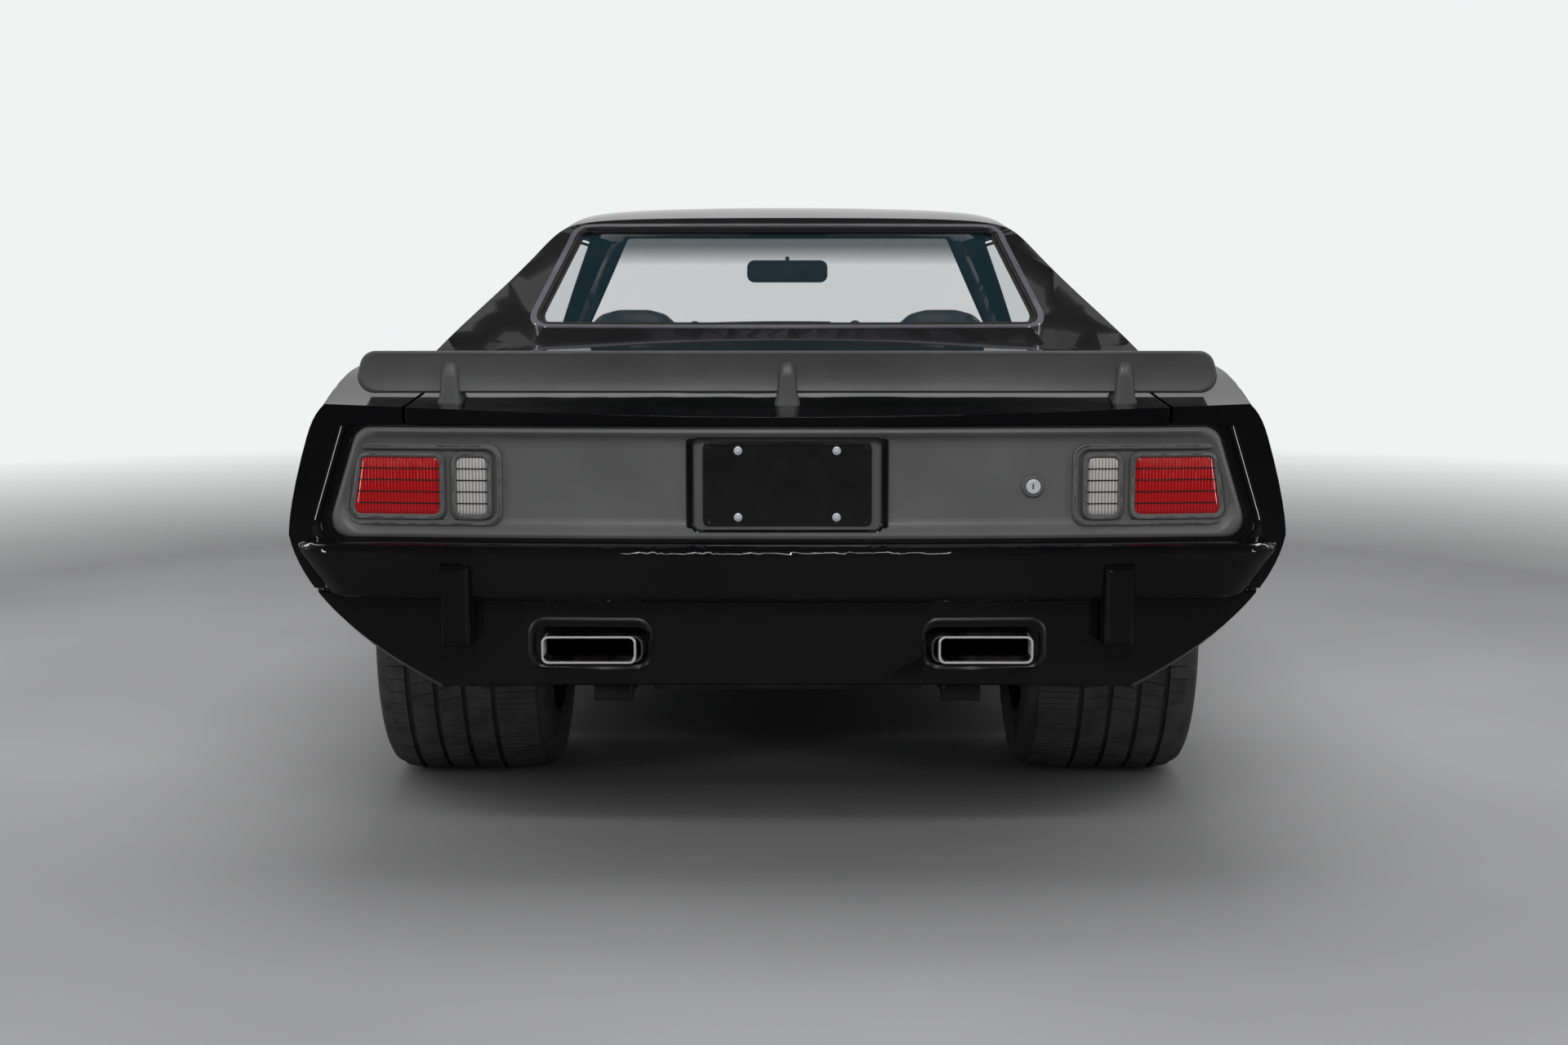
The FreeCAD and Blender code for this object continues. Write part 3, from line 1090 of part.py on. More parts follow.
def hub_face(track, tyre_width):
    """Where the wheel disc bears on its flange."""
    rim_width = size(tyre_width) - size("bead_width") * 2
    return size(track) / 2 + rim_width / 2 - size("disc_setback") - size("spoke_disc")


REAR_FACE = hub_face("rear_track", "rear_tyre_width") - SEAT_GAP
FRONT_FACE = hub_face("front_track", "front_tyre_width") - SEAT_GAP


def brake_side(face, y, z):
    flange = rod_x(size("flange_diameter") / 2, face - size("flange_width"), face, y, z)
    inner = face - size("flange_width") - size("brake_width")
    return flange.fuse(rod_x(size("brake_diameter") / 2, inner, face - size("flange_width"), y, z))


def make_axle():
    tube = rod_x(size("axle_tube") / 2, -REAR_FACE, REAR_FACE, REAR_AXLE, REAR_CENTRE)
    half_diff = size("diff_width") / 2
    housing = rod_x(size("diff_diameter") / 2, -half_diff, half_diff, REAR_AXLE, REAR_CENTRE)
    cones = [Part.makeCone(size("diff_diameter") / 2 - GAP, size("axle_tube") / 2, size("diff_taper"),
                           Vector(side * half_diff, REAR_AXLE, REAR_CENTRE), Vector(side, 0, 0))
             for side in (-1, 1)]
    gear_end = ENGINE_FRONT + size("engine_length") + size("gearbox_length") + SEAT_GAP
    gear_z = size("gearbox_base") + size("gearbox_height") / 2
    start = Vector(0, gear_end, gear_z)
    run = Vector(0, REAR_AXLE, REAR_CENTRE) - start
    shaft = Part.makeCylinder(size("shaft_diameter") / 2, run.Length, start, run)
    shaft = shaft.cut(slab(-SIDE, SIDE, FRONT_AXLE, gear_end, 0, HEIGHT))
    brakes = brake_side(REAR_FACE, REAR_AXLE, REAR_CENTRE)
    return tube.fuse([housing, shaft, brakes, mirrored(brakes)] + cones)


place("rear_axle", largest(make_axle()))


def make_spring(x):
    half = size("spring_width") / 2
    thick = size("spring_thickness")
    ends = ((REAR_AXLE - size("spring_front"), size("spring_front_z")), (REAR_AXLE, size("spring_middle_z")),
            (REAR_AXLE + size("spring_rear"), size("spring_rear_z")))
    low = [Vector(x - half, y, z - thick / 2) for y, z in ends]
    high = [point + Vector(0, 0, thick) for point in low]
    wire = Part.Wire([spline(low), Part.LineSegment(low[2], high[2]).toShape(), spline(list(reversed(high))),
                      Part.LineSegment(high[0], low[0]).toShape()])
    blade = Part.Face(wire).extrude(Vector(2 * half, 0, 0))
    eyes = [rod_x(size("spring_eye") / 2, x - half - GAP, x + half + GAP, y, z) for y, z in (ends[0], ends[2])]
    front_y, front_z = ends[0]
    rear_y, rear_z = ends[2]
    hanger = slab(x - half, x + half, front_y - thick, front_y + thick, front_z, FLOOR - SEAT_GAP)
    shackle = slab(x - half - GAP, x - half, rear_y - thick, rear_y + thick, rear_z,
                   size("step_height") - SEAT_GAP)
    pad = slab(x - half, x + half, REAR_AXLE - half, REAR_AXLE + half, size("spring_middle_z"),
               REAR_CENTRE - size("axle_tube") / 2 + thick)
    saddle = rod_x(size("axle_tube") / 2 + SEAT_GAP, x - SIDE, x + SIDE, REAR_AXLE, REAR_CENTRE)
    return blade.fuse(eyes + [hanger, shackle, pad.cut(saddle)])


spring = make_spring(size("spring_half"))
place("leaf_springs", Part.Compound([spring, mirrored(spring)]))


# Front suspension: cross-member with lower and upper arms reaching to the kingpins
def make_front_suspension():
    half_depth = size("crossmember_depth") / 2
    base = size("crossmember_base")
    top = base + size("crossmember_height")
    beam = slab(-size("arm_inner"), size("arm_inner"), FRONT_AXLE - half_depth, FRONT_AXLE + half_depth, base,
                top)
    whole = [beam]
    rail_middle = size("rail_half") + size("rail_width") / 2
    half_pad = size("rail_pad") / 2
    half_arm = size("arm_width") / 2
    thick = size("arm_thickness")
    for side in (-1, 1):
        whole.append(slab(side * size("arm_inner"), side * (size("arm_inner") + size("tower_width")),
                          FRONT_AXLE - half_depth, FRONT_AXLE + half_depth, base, size("upper_joint") + thick))
        whole.append(slab(side * (rail_middle - half_pad), side * (rail_middle + half_pad),
                          FRONT_AXLE - half_pad, FRONT_AXLE + half_pad, top, size("rail_base") - SEAT_GAP))
        for joint in (size("lower_joint"), size("upper_joint")):
            inner = side * (size("arm_inner") + size("tower_width") / 2)
            outer = side * size("kingpin")
            outline = [(inner, FRONT_AXLE - half_depth), (outer, FRONT_AXLE - half_arm / 2),
                       (outer, FRONT_AXLE + half_arm / 2), (inner, FRONT_AXLE + half_depth)]
            arm = prism_z(outline, joint - thick / 2, joint + thick / 2)
            ball = rod_z(half_arm / 2, joint - thick / 2, joint + thick / 2, outer, FRONT_AXLE)
            whole += [arm, ball]
    return whole[0].fuse(whole[1:])


place("front_suspension", largest(make_front_suspension()))


def make_knuckle():
    half = size("knuckle_width") / 2
    half_depth = size("knuckle_depth") / 2
    low = size("lower_joint") + size("arm_thickness") / 2 + SEAT_GAP
    high = size("upper_joint") - size("arm_thickness") / 2 - SEAT_GAP
    upright = slab(size("kingpin") - half, size("kingpin") + half, FRONT_AXLE - half_depth / 2,
                   FRONT_AXLE + half_depth / 2, low, high)
    boss = rod_x(half_depth, size("kingpin") - half, FRONT_FACE - size("flange_width"), FRONT_AXLE,
                 FRONT_CENTRE)
    return upright.fuse([boss, brake_side(FRONT_FACE, FRONT_AXLE, FRONT_CENTRE)])


knuckle = largest(make_knuckle())
place("knuckle_left", knuckle)
place("knuckle_right", mirrored(knuckle))


# Cabin
SEAT_TOP_SHARE = 0.56


def dash_profile():
    front = -size("dash_front")
    rear = front + size("dash_depth")
    top = size("dash_height") - SEAT_GAP
    wall = FIREWALL + SHEET + SEAT_GAP
    tray = size("dash_tray")
    return [(wall, top - tray), (front, top - tray), (front, size("dash_base")),
            (rear - size("dash_depth") / 3, size("dash_base")), (rear, top - size("dash_depth") / 3),
            (rear - size("dash_depth") / 4, top), (wall, top)]


def steering_axis():
    tilt = math.radians(size("column_tilt"))
    centre = Vector(size("driver_offset"), -size("steering_y"), size("steering_z"))
    return centre, Vector(0, math.cos(tilt), math.sin(tilt))


def make_dash():
    body = prism_x(dash_profile(), -size("dash_half"), size("dash_half"))
    body = body.cut(OUTER_BODY.cut(INNER_BODY))
    centre, axis = steering_axis()
    column = Part.makeCylinder(size("column_diameter") / 2, size("column_length"),
                               centre - axis * (size("column_length") + size("wheel_rim_wall")), axis)
    return largest(body.fuse(column))


place("dashboard", make_dash())


def make_steering_wheel():
    centre, axis = steering_axis()
    ring = size("wheel_ring_diameter") / 2
    rim = Part.makeTorus(ring - size("wheel_rim_wall") / 2, size("wheel_rim_wall") / 2, centre, axis)
    hub = Part.makeCylinder(size("column_diameter"), size("wheel_rim_wall"),
                            centre - axis * (size("wheel_rim_wall") - SEAT_GAP), axis)
    side = Vector(1, 0, 0)
    up = axis.cross(side)
    spokes = []
    for turn in (0, 120, 240):
        angle = math.radians(turn + 90)
        direction = side * math.cos(angle) - up * math.sin(angle)
        spokes.append(Part.makeCylinder(size("wheel_spoke") / 4, ring - size("wheel_rim_wall") / 2,
                                        centre - axis * (size("wheel_spoke") / 4), direction))
    return rim.fuse([hub] + spokes)


place("steering_wheel", largest(make_steering_wheel()))


def make_seat(x):
    half = size("seat_width") / 2
    front = -size("seat_front")
    back = front + size("seat_depth")
    cushion = size("seat_cushion_top")
    thick = size("seat_back_thickness")
    top = size("seat_top")
    lean = size("seat_lean")
    base = FLOOR_TOP + SEAT_GAP
    outline = [(front + thick / 3, base), (front, cushion - thick / 2), (front + thick / 3, cushion),
               (back - thick, cushion - thick / 4), (back - thick + lean, top - thick / 2),
               (back - thick * 2 / 3 + lean, top), (back - thick / 3 + lean, top - thick / 4),
               (back, cushion), (back - thick / 4, base)]
    solid = prism_x(outline, x - half, x + half)
    top_half = half * SEAT_TOP_SHARE
    taper = prism_y([(x - half, 0), (x + half, 0), (x + half, cushion + thick), (x + top_half, top + GAP),
                     (x - top_half, top + GAP), (x - half, cushion + thick)], -HALF_LENGTH, HALF_LENGTH)
    return solid.common(taper)


place("front_seats", Part.Compound([largest(make_seat(x)) for x in (-size("seat_offset"), size("seat_offset"))]))


def make_bench():
    half = size("bench_width") / 2
    front = size("bench_front")
    cushion = size("bench_cushion_top")
    base = TUNNEL_TOP + SEAT_GAP
    step_top = size("step_height") + SHEET + SEAT_GAP
    back = size("bench_back")
    top = size("bench_top")
    wall = STEP_Y - SEAT_GAP
    lean = size("bench_lean")
    outline = [(front, base), (front, cushion - GAP), (front + GAP, cushion), (wall - back, cushion - GAP),
               (wall - back + lean, top), (wall + lean, top), (wall + back / 2, step_top), (wall, step_top),
               (wall, base)]
    return prism_x(outline, -half, half)


place("rear_seat", make_bench())


def make_mirror():
    half = size("mirror_width") / 2
    base = size("mirror_base")
    high = base + size("mirror_height")
    y = -size("mirror_y")
    glass = prism_y([(-half, base), (half, base), (half, high), (-half, high)], y - size("mirror_thickness"), y,
                    size("mirror_height") / 3)
    radius = size("mirror_stem") / 2
    stem = rod_z(radius, high - radius, HEIGHT, 0, y - size("mirror_thickness") / 2)
    inside = cabin_solid(size("glass_inset") + size("glass_wall") + SEAT_GAP).cut(CABIN_OUTER.cut(CABIN_INNER)
                                                                                .cut(FRONT_OPENING))
    return largest(glass.fuse(stem.common(inside)))


place("inside_mirror", make_mirror())


# Wheels, drawn once about a level axis and set at the four corners
def origin_plane(body, role):
    return next(item for item in body.Origin.OriginFeatures if item.Role == role)


def bound_sketch(body, name, role, points):
    """A closed outline whose corners follow expressions of the sheet."""
    sketch = body.newObject("Sketcher::SketchObject", name)
    sketch.AttachmentSupport = (origin_plane(body, role), [""])
    sketch.MapMode = "FlatFace"
    values = [Vector(float(sketch.evalExpression(a)), float(sketch.evalExpression(b)), 0) for a, b in points]
    count = len(values)
    for i in range(count):
        sketch.addGeometry(Part.LineSegment(values[i], values[(i + 1) % count]))
    for i in range(count):
        sketch.addConstraint(Sketcher.Constraint("Coincident", i, 2, (i + 1) % count, 1))
    for i in range(count):
        for kind, value, expression in (("DistanceX", values[i].x, points[i][0]),
                                        ("DistanceY", values[i].y, points[i][1])):
            index = sketch.addConstraint(Sketcher.Constraint(kind, i, 1, value))
            label = "%s_%d" % (kind[-1].lower(), i)
            sketch.renameConstraint(index, label)
            sketch.setExpression("Constraints." + label, expression)
    return sketch


def turned(body, name, points):
    sketch = bound_sketch(body, name + "_profile", "XY_Plane", points)
    turn = body.newObject("PartDesign::Revolution", name + "_turn")
    turn.Profile = sketch
    turn.ReferenceAxis = (sketch, ["H_Axis"])
    turn.Angle = 360
    return turn


def make_tyre(name, which, x, y, side):
    width = "Sizes.%s_tyre_width" % which
    outer = "Sizes.%s_tyre_diameter / 2" % which
    bead = "Sizes.rim_diameter / 2 + Sizes.seat_gap"
    edge = "(%s / 2 - Sizes.bead_width)" % width
    shoulder = "(%s - Sizes.tyre_shoulder)" % outer
    tread = "(%s / 2 - Sizes.tyre_tread)" % width
    body = doc.addObject("PartDesign::Body", name)
    body.Label = name
    turned(body, name, [("-" + edge, bead), (edge, bead), (width + " / 2", shoulder), (tread, outer),
                        ("-" + tread, outer), ("-" + width + " / 2", shoulder)])
    body.Placement = Placement(Vector(side * x, y, size("%s_tyre_diameter" % which) / 2), Rotation())
    nodes.append(body)
    return body


# Rim: where its barrel drops behind the spokes, and how the windows between the spokes narrow
BARREL_SHARE = 0.4
WINDOW_FOOT_SHARE = 0.45
WINDOW_HEAD_SHARE = 0.35
WINDOW_SHOULDER_SHARE = 0.94


def make_rim(name, which, x, y, side):
    """Barrel with flanges, a set-back disc and five windows."""
    half = "(Sizes.%s_tyre_width / 2 - Sizes.bead_width)" % which
    flange = "(Sizes.rim_diameter / 2 + Sizes.rim_flange)"
    bead = "Sizes.rim_diameter / 2"
    inner = "(Sizes.rim_diameter / 2 - Sizes.rim_wall)"
    drop = "(Sizes.rim_diameter / 2 - Sizes.rim_drop)"
    disc_out = "(%s - Sizes.disc_setback)" % half
    disc_in = "(%s - Sizes.disc_setback - Sizes.spoke_disc)" % half
    bore = "Sizes.hub_bore / 2"
    gap = "Sizes.flange_clearance"
    wall = "Sizes.rim_wall"
    body = doc.addObject("PartDesign::Body", name)
    body.Label = name
    lip_in = "-(%s + %s + %s)" % (half, gap, wall)
    lip_out = "(%s + %s + %s)" % (half, gap, wall)
    step = "-(%s * %s)" % (half, BARREL_SHARE)
    turned(body, name, [
        ("-(%s + %s)" % (half, gap), bead), ("-(%s + %s)" % (half, gap), flange), (lip_in, flange),
        (lip_in, inner), (step, inner), (step, drop + " - " + wall),
        (disc_in, drop + " - " + wall), (disc_in, bore), (disc_out, bore), (disc_out, inner),
        (lip_out, inner), (lip_out, flange), ("(%s + %s)" % (half, gap), flange),
        ("(%s + %s)" % (half, gap), bead)])
    foot = "Sizes.window_spread * %s" % WINDOW_FOOT_SHARE
    head = "Sizes.window_spread * %s" % WINDOW_HEAD_SHARE
    shoulder = "Sizes.window_outer * %s" % WINDOW_SHOULDER_SHARE
    window = bound_sketch(body, name + "_window", "YZ_Plane", [
        ("-" + foot, "Sizes.window_inner"), (foot, "Sizes.window_inner"),
        ("Sizes.window_spread", shoulder), (head, "Sizes.window_outer"),
        ("-" + head, "Sizes.window_outer"), ("-Sizes.window_spread", shoulder)])
    cut = body.newObject("PartDesign::Pocket", name + "_pocket")
    cut.Profile = window
    cut.Type = "ThroughAll"
    cut.Midplane = True
    ring = body.newObject("PartDesign::PolarPattern", name + "_ring")
    ring.Originals = [cut]
    ring.Axis = (window, ["N_Axis"])
    ring.Angle = 360
    ring.setExpression("Occurrences", "Sizes.spokes")
    body.Tip = ring
    turn = Rotation() if side > 0 else Rotation(Vector(0, 0, 1), 180)
    body.Placement = Placement(Vector(side * x, y, size("%s_tyre_diameter" % which) / 2), turn)
    nodes.append(body)
    return body


for end, axle_y in (("front", FRONT_AXLE), ("rear", REAR_AXLE)):
    for hand, direction in (("left", 1), ("right", -1)):
        wheel_x = size("%s_track" % end) / 2
        make_tyre("tyre_%s_%s" % (end, hand), end, wheel_x, axle_y, direction)
        make_rim("rim_%s_%s" % (end, hand), end, wheel_x, axle_y, direction)

doc.recompute()
for item in doc.Objects:
    if "Invalid" in item.State or "Error" in item.State:
        raise RuntimeError("%s failed" % item.Label)
for node in nodes:
    if node.Shape.isNull() or not node.Shape.isValid():
        raise RuntimeError("%s has no valid shape" % node.Label)
for node in nodes:
    node.Shape.exportStep("parts/%s.step" % node.Label)
    print(node.Label, len(node.Shape.Solids), len(node.Shape.Faces), round(node.Shape.Volume))
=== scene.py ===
# %% [markdown]
# A black two-door muscle car, seen from behind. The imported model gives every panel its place, and this
# script adds what makes it look real: paint, satin trim, ribbed lamps, treaded tyres, soft seats.
# Each cell says what a piece is, how it could be made, and why this way was taken.

# %% Load the frame
import json
import math

import bmesh
import bpy
import numpy as np
from mathutils import Matrix, Vector
from mathutils.bvhtree import BVHTree

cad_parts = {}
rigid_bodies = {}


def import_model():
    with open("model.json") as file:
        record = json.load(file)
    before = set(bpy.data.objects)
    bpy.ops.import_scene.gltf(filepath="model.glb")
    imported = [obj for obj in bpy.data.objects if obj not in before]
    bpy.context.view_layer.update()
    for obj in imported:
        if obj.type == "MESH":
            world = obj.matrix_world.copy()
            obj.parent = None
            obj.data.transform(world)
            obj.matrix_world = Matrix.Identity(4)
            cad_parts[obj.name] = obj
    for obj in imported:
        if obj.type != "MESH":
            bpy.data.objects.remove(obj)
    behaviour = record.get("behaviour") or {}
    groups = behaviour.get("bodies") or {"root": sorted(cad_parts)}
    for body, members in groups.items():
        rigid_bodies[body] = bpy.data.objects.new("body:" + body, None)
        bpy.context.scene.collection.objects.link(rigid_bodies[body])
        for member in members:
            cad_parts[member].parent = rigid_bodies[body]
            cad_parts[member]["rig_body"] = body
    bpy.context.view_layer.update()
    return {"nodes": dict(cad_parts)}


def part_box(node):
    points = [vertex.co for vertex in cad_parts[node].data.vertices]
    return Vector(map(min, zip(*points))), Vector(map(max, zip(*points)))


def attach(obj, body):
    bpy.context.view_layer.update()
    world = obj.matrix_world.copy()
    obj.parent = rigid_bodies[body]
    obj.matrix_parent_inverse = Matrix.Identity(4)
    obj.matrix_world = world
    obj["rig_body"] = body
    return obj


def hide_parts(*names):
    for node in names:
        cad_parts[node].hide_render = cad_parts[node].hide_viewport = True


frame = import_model()
nodes = frame["nodes"]
scene = bpy.context.scene
print("nodes loaded:", len(nodes))

# %% [markdown]
# The photograph was taken from behind with a lens of about 50 mm, 1.15 m above the ground, looking
# down by seven degrees. Those numbers come from the plate's size and from the places of the lamps,
# the wing, the roof and the tyres. A camera in Blender looks along its own -Z, so it is turned up
# by ninety degrees, less the tilt, and half round to face the tail.


# %% Camera
def in_scene(name, data):
    """A new object with this data, linked to the scene."""
    thing = bpy.data.objects.new(name, data)
    scene.collection.objects.link(thing)
    return thing


CAMERA_TILT = 0.1218
camera_data = bpy.data.cameras.new("camera")
camera_data.lens = 49.96
camera_data.sensor_width = 36
camera_data.shift_x = -0.0021
camera = in_scene("camera", camera_data)
camera.location = (0, 6.181, 1.153)
camera.rotation_euler = (math.pi / 2 - CAMERA_TILT, 0, math.pi)
scene.camera = camera
scene.view_settings.view_transform = "Standard"
print("camera stands", round(camera.location.y, 2), "m behind the middle of the car")

# %% [markdown]
# Shaders and Geometry Nodes are both trees of nodes. One helper adds a node, sets it and feeds its
# inputs. Three more are for the steps that come back all the time: stretching a value, arithmetic
# and mixing shaders.


# %% Node helpers
def add_node(tree, kind, inputs=None, **settings):
    """A new node. An input gets a value, or the output of another node, which is linked to it."""
    node = tree.nodes.new(kind)
    for key, value in settings.items():
        setattr(node, key, value)
    for socket, value in (inputs or {}).items():
        if isinstance(value, bpy.types.NodeSocket):
            tree.links.new(value, node.inputs[socket])
        else:
            node.inputs[socket].default_value = value
    return node


def ramped(tree, value, start, end, first, last, **settings):
    """Turn a value that runs from start to end into one that runs from first to last."""
    ends = {"From Min": start, "From Max": end, "To Min": first, "To Max": last}
    return add_node(tree, "ShaderNodeMapRange", {"Value": value, **ends}, **settings).outputs["Result"]


def reckon(tree, operation, first, second):
    """One step of arithmetic on two values."""
    return add_node(tree, "ShaderNodeMath", {0: first, 1: second}, operation=operation).outputs[0]


def mix_shaders(tree, share, first, second):
    """The first shader where the share is 0, the second where it is 1."""
    return add_node(tree, "ShaderNodeMixShader", {0: share, 1: first, 2: second}).outputs[0]


# %% [markdown]
# Black gloss paint shows its room more than itself. The room has a white wall before the car's nose and
# is dim on the camera's side, so the world is bright one way and dark the other for mirrored rays.
# Large soft lamps give the long highlights along the edges. The white that the camera sees adds no
# light: Light Path tells those rays apart.

# %% World
WALL_WHITE = (0.88, 0.885, 0.89, 1)
world = bpy.data.worlds.new("studio")
scene.world = world
world.use_nodes = True
room = world.node_tree
room.nodes.clear()
ray = add_node(room, "ShaderNodeLightPath").outputs
direction = add_node(room, "ShaderNodeTexCoord").outputs["Generated"]
looked = add_node(room, "ShaderNodeSeparateXYZ", {0: direction}).outputs
ahead = ramped(room, looked["Y"], 0.25, -0.75, 0.08, 0.85, interpolation_type="SMOOTHSTEP")
level = ramped(room, looked["Z"], 0.03, 0.55, 1.0, 0.10, interpolation_type="SMOOTHSTEP")
mirrored = add_node(room, "ShaderNodeBackground", {"Strength": reckon(room, "MULTIPLY", ahead, level)})
fill = add_node(room, "ShaderNodeBackground", {"Color": (0.80, 0.81, 0.83, 1), "Strength": 0.5})
wall = add_node(room, "ShaderNodeBackground", {"Color": WALL_WHITE, "Strength": 1.0})
lit = mix_shaders(room, ray["Is Glossy Ray"], fill.outputs[0], mirrored.outputs[0])
seen = reckon(room, "MAXIMUM", ray["Is Camera Ray"], ray["Is Transmission Ray"])
add_node(room, "ShaderNodeOutputWorld", {0: mix_shaders(room, seen, lit, wall.outputs[0])})
print("nodes in the world:", len(room.nodes))

# %% [markdown]
# A lamp's size decides how hard an edge its light has: the wide ones fill, the strips draw lines on
# the paint.


# %% Lamps and floor
def soft_lamp(name, place, aim, width, length, power, mirrored=True):
    """A rectangular lamp that looks at a point. One that isn't mirrored gives light and no highlight."""
    data = bpy.data.lights.new(name, "AREA")
    data.shape = "RECTANGLE"
    data.size = width
    data.size_y = length
    data.energy = power
    lamp = in_scene(name, data)
    lamp.location = place
    lamp.rotation_euler = (Vector(aim) - Vector(place)).to_track_quat("-Z", "Y").to_euler()
    lamp.visible_glossy = mirrored


soft_lamp("ceiling_lamp", (0, 0.6, 4.2), (0, 0.6, 0), 3.2, 5.5, 200, mirrored=False)
soft_lamp("rear_fill_lamp", (0, 7.5, 3.6), (0, 1.8, 0.6), 4.0, 1.6, 150, mirrored=False)
soft_lamp("strip_lamp_rear", (0, 6.6, 3.6), (0, 2.2, 0.7), 2.2, 0.30, 60)
for side in (-1, 1):
    soft_lamp("strip_lamp_side_%d" % (side + 2), (side * 3.1, 0.4, 3.6), (0, 0.4, 0.8), 0.55, 6.0, 70)
    soft_lamp("strip_lamp_corner_%d" % (side + 2), (side * 5.4, 5.6, 1.7), (0, 1.8, 0.7), 0.4, 2.6, 50)

FAR = 30
floor_mesh = bpy.data.meshes.new("floor")
floor_mesh.from_pydata([(-FAR, -FAR, 0), (FAR, -FAR, 0), (FAR, FAR, 0), (-FAR, FAR, 0)], [], [(0, 1, 2, 3)])
floor = in_scene("floor", floor_mesh)
print("lamps:", len(bpy.data.lights))

# %% [markdown]
# Every finish below is a Principled shader. The colour, roughness and bump of a real surface vary a
# little, so noise on Object coordinates drives them. Numbers that are the same all over are written
# straight on the shader's sockets. The finish helper makes the shader and hangs up to three noises on it.


# %% Material helpers
def grey(shade, blue=0):
    """A colour without a hue, or a little bluer."""
    return shade, shade, shade + blue


def shader_of(material):
    """The Principled shader of a material."""
    return material.node_tree.nodes["Principled BSDF"]


def drive(material, value, socket):
    """Feed a socket of the shader."""
    material.node_tree.links.new(value, shader_of(material).inputs[socket])


def fed_by(material, socket):
    """What feeds a socket of the shader now, so that one more step can be put between."""
    return shader_of(material).inputs[socket].links[0].from_socket


def object_coordinates(material, scale=(1, 1, 1)):
    """Places on the object itself: a pattern made from them stays on a part that moves."""
    place = add_node(material.node_tree, "ShaderNodeTexCoord").outputs["Object"]
    return add_node(material.node_tree, "ShaderNodeMapping", {"Vector": place, "Scale": scale}).outputs["Vector"]


def noise(material, scale, detail, stretch=(1, 1, 1)):
    """A soft random pattern on the object."""
    place = object_coordinates(material, stretch)
    values = {"Vector": place, "Scale": scale, "Detail": detail}
    return add_node(material.node_tree, "ShaderNodeTexNoise", values).outputs["Fac"]


def spread(material, value, low, high, start=0.3, end=0.7):
    """Stretch the middle of a value to a chosen range."""
    return ramped(material.node_tree, value, start, end, low, high)


def bump(material, height, strength, distance=0.001, socket="Normal"):
    """Bend the light on the surface as if it had this height."""
    values = {"Strength": strength, "Distance": distance, "Height": height}
    drive(material, add_node(material.node_tree, "ShaderNodeBump", values).outputs["Normal"], socket)


def two_tone(material, value, first, second, low=0.35, high=0.65):
    """Blend the base colour between two, by a value."""
    ramp = add_node(material.node_tree, "ShaderNodeValToRGB", {"Fac": value})
    for stop, position, color in zip(ramp.color_ramp.elements, (low, high), (first, second)):
        stop.position = position
        stop.color = (*color, 1)
    drive(material, ramp.outputs["Color"], "Base Color")


def finish(name, color, tones=None, rough=None, grain=None, **sockets):
    """A new material: its base colour, then any other socket by its name with underscores.

    Tones, rough and grain each start with a noise, as (scale, detail). Tones go on with two colours,
    rough with the range of the roughness, grain with the strength and depth of a bump.
    """
    material = bpy.data.materials.new(name)
    material.use_nodes = True
    material.diffuse_color = (*color, 1)
    shader_of(material).inputs["Base Color"].default_value = (*color, 1)
    for key, value in sockets.items():
        shader_of(material).inputs[key.replace("_", " ")].default_value = value
    if tones:
        two_tone(material, noise(material, *tones[0]), *tones[1:])
    if rough:
        drive(material, spread(material, noise(material, *rough[0]), *rough[1:]), "Roughness")
    if grain:
        bump(material, noise(material, *grain[0]), *grain[1:])
    return material


# %% [markdown]
# Gloss black: a very dark base under a clear coat. Fine noise in the coat's normal is the slight
# orange peel that every sprayed surface has, and a little dust lifts the roughness in patches.

# %% Painted finishes
gloss = finish("black_gloss", (0.004, 0.004, 0.005),
               tones=((3.0, 3), (0.0014, 0.0014, 0.0018), (0.0026, 0.0026, 0.0030)), rough=((9.0, 4), 0.42, 0.50),
               grain=((240.0, 1), 0.012, 0.001, "Coat Normal"), Roughness=0.45, Specular_IOR_Level=0.05,
               Coat_Weight=1.0, Coat_Roughness=0.025, Coat_IOR=1.5)
satin = finish("satin_black", grey(0.080), tones=((5.0, 5), grey(0.074), grey(0.088)),
               rough=((14.0, 4), 0.38, 0.48), grain=((900.0, 2), 0.10, 0.0006), Roughness=0.5)
wing_satin = finish("wing_satin", grey(0.048, 0.001), tones=((5.0, 5), grey(0.042, 0.001), grey(0.056, 0.001)),
                    rough=((14.0, 4), 0.36, 0.46), grain=((900.0, 2), 0.10, 0.0006), Roughness=0.45)
undercoat = finish("undercoat", grey(0.020), tones=((6.0, 6), grey(0.014), (0.032, 0.030, 0.028)),
                   grain=((160.0, 4), 0.35, 0.002), Roughness=0.75)
block_paint = finish("engine_paint", grey(0.05, 0.003), tones=((8.0, 4), grey(0.035, 0.003), grey(0.07, 0.003)),
                     grain=((220.0, 3), 0.25, 0.001), Roughness=0.42)
print("painted finishes:", len(bpy.data.materials))

# %% [markdown]
# Metals: the base colour is the metal's mirror colour, and Metallic is one. Brushing is noise that is
# stretched along the grain. Heat and dirt darken it in patches, which a second noise gives.

